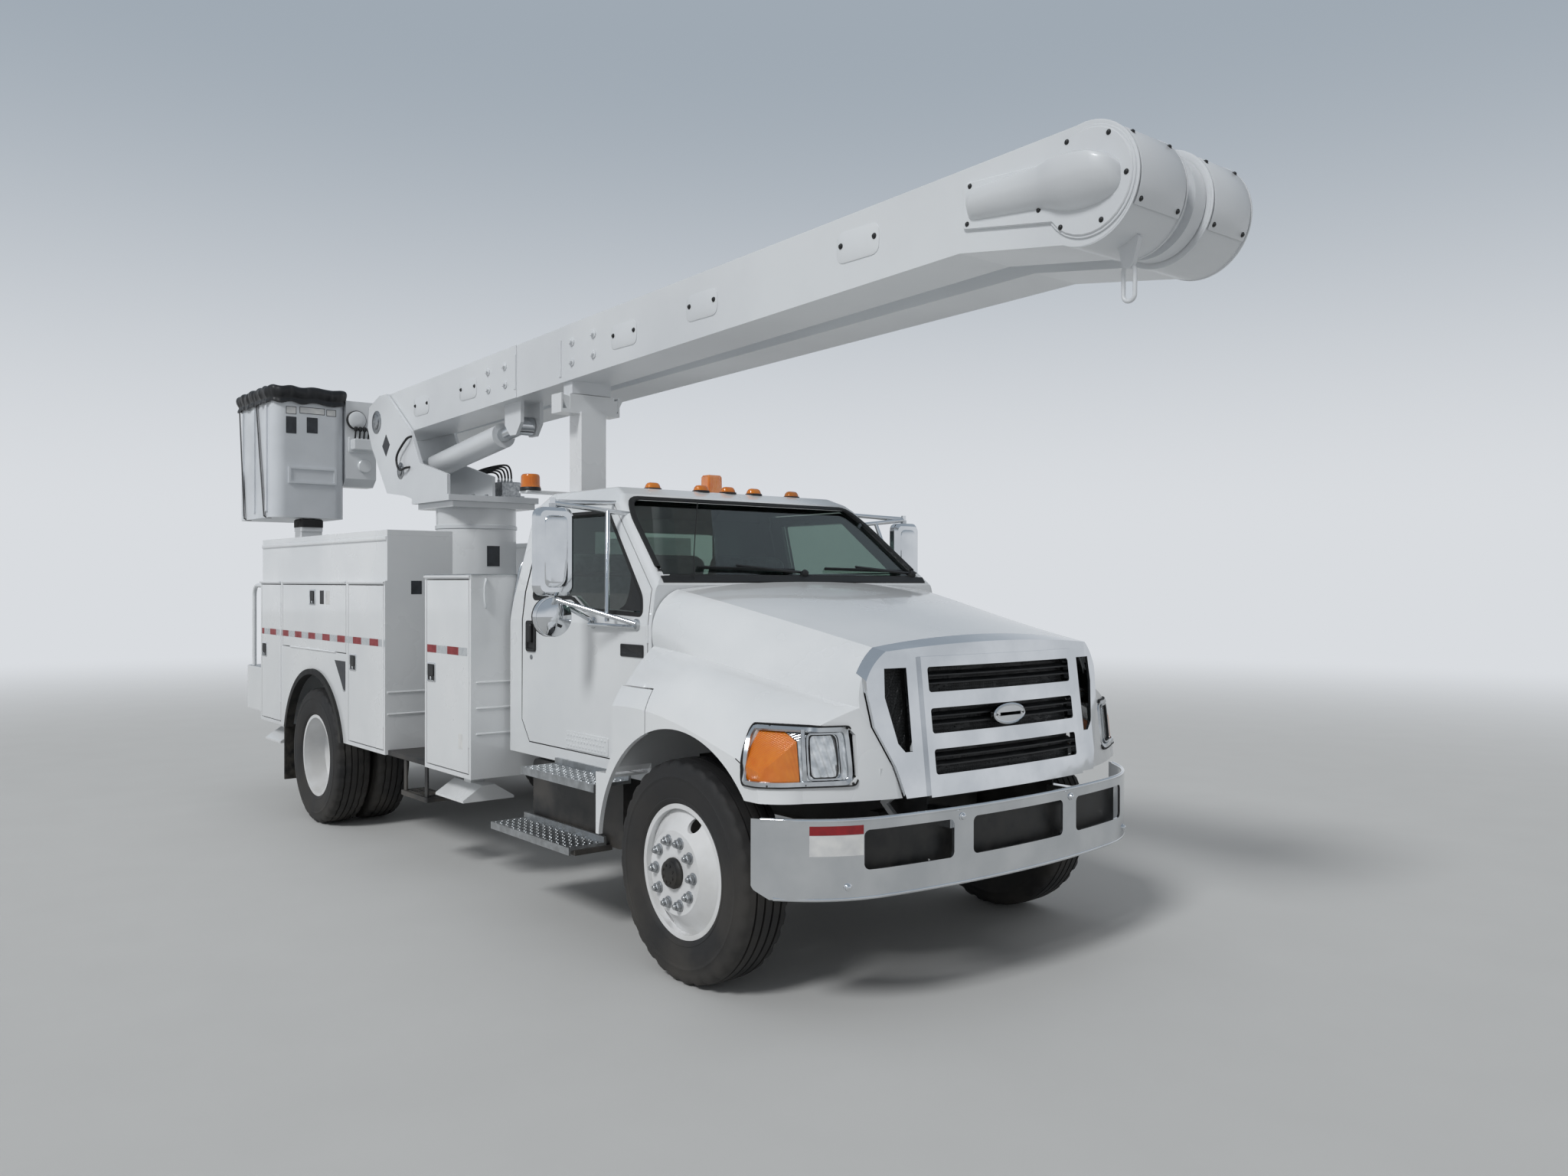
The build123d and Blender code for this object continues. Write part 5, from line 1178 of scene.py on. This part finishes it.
class TRUCK_OT_turret_parts(bpy.types.Operator):
    """Fit handles, pins, bolts and valves to the turret and pedestal"""
    bl_idname = "truck.turret_parts"
    bl_label = "Turret hardware"

    def execute(self, context):
        form = bmesh.new()
        place = on_side(TURRET_FACE, -1)
        knob(form, (-0.392, 5.533, 3.107), (-1, 0, 0),
            ((0.062, -0.012), (0.062, 0.004), (0.055, 0.009), (0.03, 0.01)), 40)
        knob(form, (TURRET_FACE, 5.533, 3.107), (-1, 0, 0),
            ((0.095, -0.001), (0.095, 0.005), (0.091, 0.007)), 40)
        knob(form, (-0.392, 5.02, 2.665), (-1, 0, 0), ((0.04, -0.01), (0.04, 0.004), (0.034, 0.008)), 32)
        knob(form, (TURRET_FACE, 5.02, 2.665), (-1, 0, 0),
            ((0.066, -0.001), (0.066, 0.004), (0.063, 0.006)), 32)
        diamond = oval((5.33, 2.895), 0.16, 0.184, 4)
        plate(form, place, diamond, 0.002, 1)
        for turn in turns_of(18):
            spot = at(0.285 * cos(turn), PEDESTAL + 0.285 * sin(turn), TURNTABLE_Z)
            hex_bolt(form, facing(spot, (0, 0, 1)), 0.015)
        # Valve block beside the plates, with its fittings
        block = on_top(TURNTABLE_Z)
        plate(form, block, rectangle((0.15, 4.26), 0.16, 0.22, 0.01), 0.12, 0, 0.006)
        plate(form, block, rectangle((0.15, 4.26), 0.2, 0.27, 0.012), 0.012)
        for i in range(5):
            spot = at(0.095 + 0.027 * i, 4.26, 2.55)
            turned(form, facing(spot, (0, 0, 1)), ((0.011, -0.001), (0.011, 0.018), (0.008, 0.02),
                (0.008, 0.034)), 6)
        piece("turret_parts", form, "turret", "zinc_plated_steel", "dark_vinyl", "cast_iron")
        bent_tube("turret_handle", [[at(-0.38, 4.802, 2.92), at(-0.41, 4.802, 2.92), at(-0.415, 4.9, 2.87),
            at(-0.415, 5.034, 2.79), at(-0.415, 5.03, 2.715), at(-0.415, 4.965, 2.655),
            at(-0.412, 4.845, 2.681), at(-0.38, 4.837, 2.681)]], 0.009, "turret", "moulded_plastic")
        pipes = []
        for i in range(5):
            x = 0.095 + 0.027 * i
            rise = 2.615 + 0.016 * i
            pipes.append([at(x, 4.26, 2.575), at(x, 4.26, rise), at(x - 0.01, 4.4, rise + 0.03),
                at(0.025 + 0.012 * i, 4.62 + 0.02 * i, rise - 0.02), at(0.022 + 0.012 * i, 4.66, 2.56),
                at(0.022 + 0.012 * i, 4.66, 2.43)])
        bent_tube("turret_pipes", pipes, 0.007, "turret", "moulded_rubber")
        form = bmesh.new()
        knob(form, (0, PEDESTAL, 2.18), (0, 0, 1), ((0.3065, 0), (0.314, 0.004), (0.314, 0.03),
            (0.3065, 0.034)), 64)
        knob(form, (0, PEDESTAL, 1.063), (0, 0, 1), ((0.36, -0.001), (0.36, 0.02), (0.356, 0.024)), 64)
        for turn in turns_of(16, 0.5):
            hex_bolt(form, facing(at(0.335 * cos(turn), PEDESTAL + 0.335 * sin(turn), 1.086), (0, 0, 1)),
                0.014, 1)
        rings = []
        for step in range(6):
            turn = radians(259.5 + 3.9 * step)
            rings.append([at(r * cos(turn), PEDESTAL + r * sin(turn), z)
                for r, z in ((0.306, 1.894), (0.3095, 1.894), (0.3095, 2.05), (0.306, 2.05))])
        stack(form, rings, 2)
        piece("pedestal_parts", form, "chassis", "boom_enamel", "zinc_plated_steel", "dark_vinyl")
        return {"FINISHED"}


class TRUCK_OT_bucket_cover(bpy.types.Operator):
    """Drape the coated cover over the bucket, with its gathered edge and its straps"""
    bl_idname = "truck.bucket_cover"
    bl_label = "Bucket cover"

    def execute(self, context):
        drop = context.scene.truck_sizes.cover_drop
        low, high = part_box("bucket")
        centre = ((low.x + 0.014 + high.x) / 2, (low.y + 0.02 + high.y) / 2)
        half = ((high.x - low.x - 0.014) / 2 + 0.006, (high.y - low.y - 0.02) / 2 + 0.006)
        rim = high.z + 0.006
        edge = dense(rectangle((0, 0), 2 * half[0], 2 * half[1], 0.115), 0.0125)
        outward = grow([tuple(point) for point in edge], 1.0)
        ways = [(Vector(o) - point).normalized() for point, o in zip(edge, outward)]
        # Share of the way out from the middle, stand outside the rim, height above it, depth of the folds
        rows = [(0.02, 0, 0.01, 0.001), (0.2, 0, 0.012, 0.004), (0.4, 0, 0.018, 0.007),
            (0.6, 0, 0.028, 0.009), (0.76, 0, 0.04, 0.01), (0.88, 0, 0.054, 0.01), (0.95, 0, 0.064, 0.009),
            (1.0, 0.0, 0.067, 0.008), (1.0, 0.018, 0.06, 0.009), (1.0, 0.03, 0.042, 0.012),
            (1.0, 0.032, 0.018, 0.014), (1.0, 0.027, -0.006, 0.012), (1.0, 0.017, -0.03, 0.007),
            (1.0, 0.01, -0.044, 0.003), (1.0, 0.015, -0.056, 0.008), (1.0, 0.02, -drop + 0.012, 0.012),
            (1.0, 0.018, -drop, 0.013)]
        form = bmesh.new()
        rings = []
        for share, stand, lift, fold in rows:
            ring = []
            for i, (point, way) in enumerate(zip(edge, ways)):
                turn = 2 * pi * i / len(edge)
                ripple = (0.5 * sin(23 * turn + 2.1 * share) + 0.3 * sin(41 * turn + 1.3) + 0.35
                    * sin(9 * turn + 4 * share) + 0.2 * sin(67 * turn + 9 * share))
                flat = point * share + way * (stand + fold * ripple * (0.4 if share < 1 else 0.7))
                z = rim + lift + fold * 0.8 * sin(17 * turn + 5 * share + 2 * sin(3 * turn))
                x, y = centre[0] + flat.x, centre[1] + flat.y
                if x > high.x - 0.004 and y < low.y + 0.32 and z < rim - 0.006:
                    x, z = high.x + 0.012, rim - 0.004
                ring.append(Vector((x, y, z)))
            rings.append(ring)
        rows_made = [[form.verts.new(p) for p in ring] for ring in rings]
        for inner, outer in zip(rows_made, rows_made[1:]):
            for i, _ in enumerate(inner):
                j = (i + 1) % len(inner)
                form.faces.new((inner[i], inner[j], outer[j], outer[i]))
        form.faces.new(rows_made[0])
        cover = piece("vinyl_cover", form, "platform", "coated_fabric", crease=80)
        bends = cover.modifiers.new("even", "SUBSURF")
        bends.levels = bends.render_levels = 1
        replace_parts(cover, "bucket_cover")
        form = bmesh.new()
        for top, bottom in (((7.585, 3.43), (7.43, 2.36)), ((7.07, 3.43), (6.83, 2.36))):
            track = [(at(low.x - 0.0015, top[0] + (bottom[0] - top[0]) * i / 8,
                top[1] + (bottom[1] - top[1]) * i / 8), Vector((-1, 0, 0))) for i in range(9)]
            track.append((at(low.x + 0.02, bottom[0] - 0.004, 2.3435), Vector((-0.5, 0, -0.85))))
            track.append((at(low.x + 0.06, bottom[0] - 0.006, 2.3435), Vector((0, 0, -1))))
            band(form, track, 0.034, 0.002)
        piece("cover_straps", form, "platform", "coated_fabric")
        return {"FINISHED"}


class TRUCK_OT_bucket_parts(bpy.types.Operator):
    """Fit the blank plates, the lever bank and the bolts of the platform"""
    bl_idname = "truck.bucket_parts"
    bl_label = "Platform hardware"

    def execute(self, context):
        form = bmesh.new()
        front = on_front(6.625)
        # Low x, high x, low z and high z of each plate, and 0 where a pale field lies on the dark one
        for x_low, x_high, z_low, z_high, plain in ((-0.78, -0.69, 3.09, 3.24, 1),
                (-0.601, -0.504, 3.105, 3.245, 1), (-0.663, -0.441, 3.275, 3.335, 0),
                (-0.78, -0.69, 3.262, 3.33, 0), (-0.427, -0.34, 3.27, 3.33, 0)):
            centre = ((x_low + x_high) / 2, (z_low + z_high) / 2)
            plate(form, front, rectangle(centre, x_high - x_low, z_high - z_low, 0.004), 0.0012, 1, 0.0004)
            if not plain:
                plate(form, front, rectangle(centre, x_high - x_low - 0.01, z_high - z_low - 0.01, 0.003),
                    0.0018, 0, 0.0004)
        piece("bucket_plates", form, "platform", "printed_vinyl", "dark_vinyl")
        form = bmesh.new()
        face = on_front(BRACKET_FRONT)
        plate(form, face, rectangle((-0.105, 3.03), 0.2, 0.1, 0.012), 0.1, 0, 0.006)
        plate(form, face, rectangle((-0.105, 3.03), 0.235, 0.14, 0.012), 0.012)
        knob(form, (-0.075, BRACKET_FRONT, 2.84), (0, -1, 0),
            ((0.062, -0.001), (0.062, 0.02), (0.056, 0.026), (0.03, 0.027)), 40)
        knob(form, (-0.155, BRACKET_FRONT, 3.255), (0, -1, 0),
            ((0.088, -0.001), (0.088, 0.03), (0.083, 0.036)), 40, 1)
        knob(form, (-0.155, BRACKET_FRONT, 3.255), (0, -1, 0),
            ((0.08, 0.03), (0.08, 0.04), (0.072, 0.046), (0.03, 0.048)), 40)
        for i in range(5):
            x = -0.185 + 0.04 * i
            lever = facing(at(x, 6.575, 3.078), (0, -0.25, 1))
            turned(form, lever, ((0.0085, 0), (0.0075, 0.075)), 10, 1)
            turned(form, lever, ((0.01, 0.07), (0.0175, 0.08), (0.019, 0.096), (0.015, 0.11),
                (0.007, 0.115)), 14, 1)
            turned(form, lever, ((0.012, -0.006), (0.012, 0.004), (0.008, 0.01)), 14, 1)
        for y in (6.69, 6.83):
            for z in (2.72, 2.85, 3.36):
                hex_bolt(form, facing(at(0.035, y, z), (1, 0, 0)), 0.012, 2)
        piece("lever_bank", form, "platform", "boom_enamel", "moulded_plastic", "zinc_plated_steel")
        return {"FINISHED"}


def cushion(form, place, width, depth, height, crown):
    """A crowned cushion whose sides pull in between its corners."""
    outline = dense(rectangle((0, 0), width, depth, 0.05), 0.03)
    rings = []
    for inset, lift in ((0.02, 0), (0.004, 0.012), (0.0, 0.03), (0.002, height - 0.04),
            (0.008, height - 0.018), (0.022, height - 0.004), (0.06, height + crown * 0.5),
            (0.11, height + crown * 0.85), (0.17, height + crown)):
        ring = []
        for x, y in [tuple(point) for point in outline]:
            pull = 0.006 * (cos(2 * pi * x / width) + 1) * (cos(2 * pi * y / depth) + 1) / 2
            scale = (1 - 2 * (inset + pull) / width, 1 - 2 * (inset + pull) / depth)
            ring.append(place @ Vector((x * scale[0], y * scale[1], lift)))
        rings.append(ring)
    stack(form, rings)


class TRUCK_OT_seats(bpy.types.Operator):
    """Build the padded seats of the cab"""
    bl_idname = "truck.seats"
    bl_label = "Seats"

    def execute(self, context):
        for name, low, high in (("bench", -0.78, 0.13), ("driver", 0.22, 0.76)):
            width, x = high - low, (low + high) / 2
            form = bmesh.new()
            seat = Matrix.Translation(at(x, 1.345, 1.24)) @ Matrix.Rotation(radians(3), 4, "X")
            cushion(form, seat, width, 0.49, 0.125, 0.022)
            tilt = radians(70)
            back = Matrix.Translation(at(x, 1.745, 1.66)) @ Matrix.Rotation(-tilt, 4,
                "X") @ Matrix.Rotation(pi, 4, "Y")
            cushion(form, back, width, 0.6, 0.115, 0.018)
            pads = piece(f"{name}_cushions", form, "chassis", "woven_seat_cloth", crease=60)
            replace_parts(pads, "seats")
        form = bmesh.new()
        for low, high in ((-0.76, 0.11), (0.24, 0.74)):
            plate(form, on_top(0.971), rectangle(((low + high) / 2, 1.36), high - low, 0.46, 0.02), 0.275)
        piece("seat_boxes", form, "chassis", "moulded_plastic")
        return {"FINISHED"}


# Where the floor meets the backdrop
HORIZON = linear("#D9DCE0")


class TRUCK_OT_studio(bpy.types.Operator):
    """Set up the floor, the soft light, the pale surroundings and the camera"""
    bl_idname = "truck.studio"
    bl_label = "Studio"

    def execute(self, context):
        scene = context.scene
        sizes = scene.truck_sizes
        scene.view_settings.view_transform = "Standard"
        form = bmesh.new()
        bmesh.ops.create_circle(form, cap_ends=True, segments=96, radius=70)
        mesh = bpy.data.meshes.new("floor")
        form.to_mesh(mesh)
        form.free()
        floor = bpy.data.objects.new("floor", mesh)
        scene.collection.objects.link(floor)
        material = bpy.data.materials.new("painted_floor")
        tree = clear_tree(material)
        place = add_node(tree, "ShaderNodeTexCoord").outputs["Object"]
        grit = add_node(tree, "ShaderNodeTexNoise", {"Vector": place, "Scale": 2.0,
            "Detail": 6.0}).outputs["Fac"]
        tone = blend(tree, grit, linear("#D2D3D2"), linear("#CCCDCC"))
        paint = add_node(tree, "ShaderNodeBsdfPrincipled", {"Base Color": tone, "Roughness": 0.85})
        reach = add_node(tree, "ShaderNodeVectorMath", {0: place}, operation="LENGTH").outputs["Value"]
        fade = ramp(tree, reach, 7.0, 24.0, interpolation_type="SMOOTHSTEP")
        seen = add_node(tree, "ShaderNodeLightPath").outputs["Is Camera Ray"]
        amount = reckon(tree, "MULTIPLY", fade, seen)
        glow = add_node(tree, "ShaderNodeEmission", {"Color": HORIZON, "Strength": 1.0})
        mix = add_node(tree, "ShaderNodeMixShader", {0: amount, 1: paint.outputs[0], 2: glow.outputs[0]})
        add_node(tree, "ShaderNodeOutputMaterial", {"Surface": mix.outputs[0]})
        mesh.materials.append(material)
        world = bpy.data.worlds.new("studio")
        scene.world = world
        tree = clear_tree(world)
        way = add_node(tree, "ShaderNodeTexCoord").outputs["Generated"]
        height = add_node(tree, "ShaderNodeSeparateXYZ", {0: way}).outputs["Z"]
        # The backdrop greys with height, the same for the camera and for what metal and glass show
        rise = ramp(tree, height, 0.04, 0.42, interpolation_type="SMOOTHSTEP")
        backdrop = blend(tree, rise, HORIZON, linear("#9FA9B3"))
        path = add_node(tree, "ShaderNodeLightPath").outputs
        shown = add_node(tree, "ShaderNodeBackground", {"Color": backdrop, "Strength": 1.0})
        fill = add_node(tree, "ShaderNodeBackground",
            {"Color": linear("#F3F6FA"), "Strength": sizes.sky_strength})
        either = reckon(tree, "MAXIMUM", path["Is Camera Ray"], path["Is Glossy Ray"])
        any_seen = reckon(tree, "MAXIMUM", either, path["Is Transmission Ray"])
        mix = add_node(tree, "ShaderNodeMixShader", {0: any_seen, 1: fill.outputs[0], 2: shown.outputs[0]})
        add_node(tree, "ShaderNodeOutputWorld", {"Surface": mix.outputs[0]})
        sun = bpy.data.lights.new("key", "SUN")
        sun.energy = sizes.sun_strength
        sun.angle = radians(14)
        key = bpy.data.objects.new("key", sun)
        key.matrix_world = facing((0, 0, 8), (-0.7, -0.2, 0.69))
        scene.collection.objects.link(key)
        lens = bpy.data.cameras.new("camera")
        lens.lens = 27.476
        lens.sensor_width = 36
        lens.clip_end = 200
        camera = bpy.data.objects.new("camera", lens)
        yaw, pitch, roll = radians(39.74), radians(-0.256), radians(0.108)
        ahead = Vector((sin(yaw) * cos(pitch), cos(yaw) * cos(pitch), sin(pitch)))
        right = ahead.cross(Vector((0, 0, 1))).normalized()
        up = right.cross(ahead)
        view = Matrix((right * cos(roll) + up * sin(roll), up * cos(roll) - right * sin(roll), -ahead))
        camera.matrix_world = Matrix.Translation((-4.1653, -7.3015, 1.7723)) @ view.transposed().to_4x4()
        scene.collection.objects.link(camera)
        scene.camera = camera
        return {"FINISHED"}


OPERATORS = (TRUCK_OT_finishes, TRUCK_OT_studio, TRUCK_OT_tyres, TRUCK_OT_wheel_parts,
    TRUCK_OT_grille_parts, TRUCK_OT_lamp_frames, TRUCK_OT_hood_parts, TRUCK_OT_cab_trim, TRUCK_OT_mirrors,
    TRUCK_OT_lamps, TRUCK_OT_steps, TRUCK_OT_body_parts, TRUCK_OT_elbow_cover, TRUCK_OT_boom_parts,
    TRUCK_OT_turret_parts, TRUCK_OT_bucket_cover, TRUCK_OT_bucket_parts, TRUCK_OT_seats)


class TRUCK_PT_panel(bpy.types.Panel):
    """Lists the truck's colours, sizes and steps"""
    bl_idname = "TRUCK_PT_panel"
    bl_label = "Cherry Picker Truck"
    bl_space_type = "VIEW_3D"
    bl_region_type = "UI"
    bl_category = "Truck"

    def draw(self, context):
        for group in (context.scene.truck_colours, context.scene.truck_sizes):
            for name in group.__annotations__:
                self.layout.prop(group, name)
        for operator in OPERATORS:
            self.layout.operator(operator.bl_idname)


def register():
    """Register the classes and the scene's settings."""
    for kind in (TruckColours, TruckSizes, *OPERATORS, TRUCK_PT_panel):
        bpy.utils.register_class(kind)
    bpy.types.Scene.truck_colours = PointerProperty(type=TruckColours)
    bpy.types.Scene.truck_sizes = PointerProperty(type=TruckSizes)


def unregister():
    """Remove the settings and the classes."""
    del bpy.types.Scene.truck_colours
    del bpy.types.Scene.truck_sizes
    for kind in reversed((TruckColours, TruckSizes, *OPERATORS, TRUCK_PT_panel)):
        bpy.utils.unregister_class(kind)


def main():
    """Dress the truck."""
    register()
    for operator in OPERATORS:
        group, name = operator.bl_idname.split(".")
        getattr(getattr(bpy.ops, group), name)()


if __name__ == "__main__":
    main()
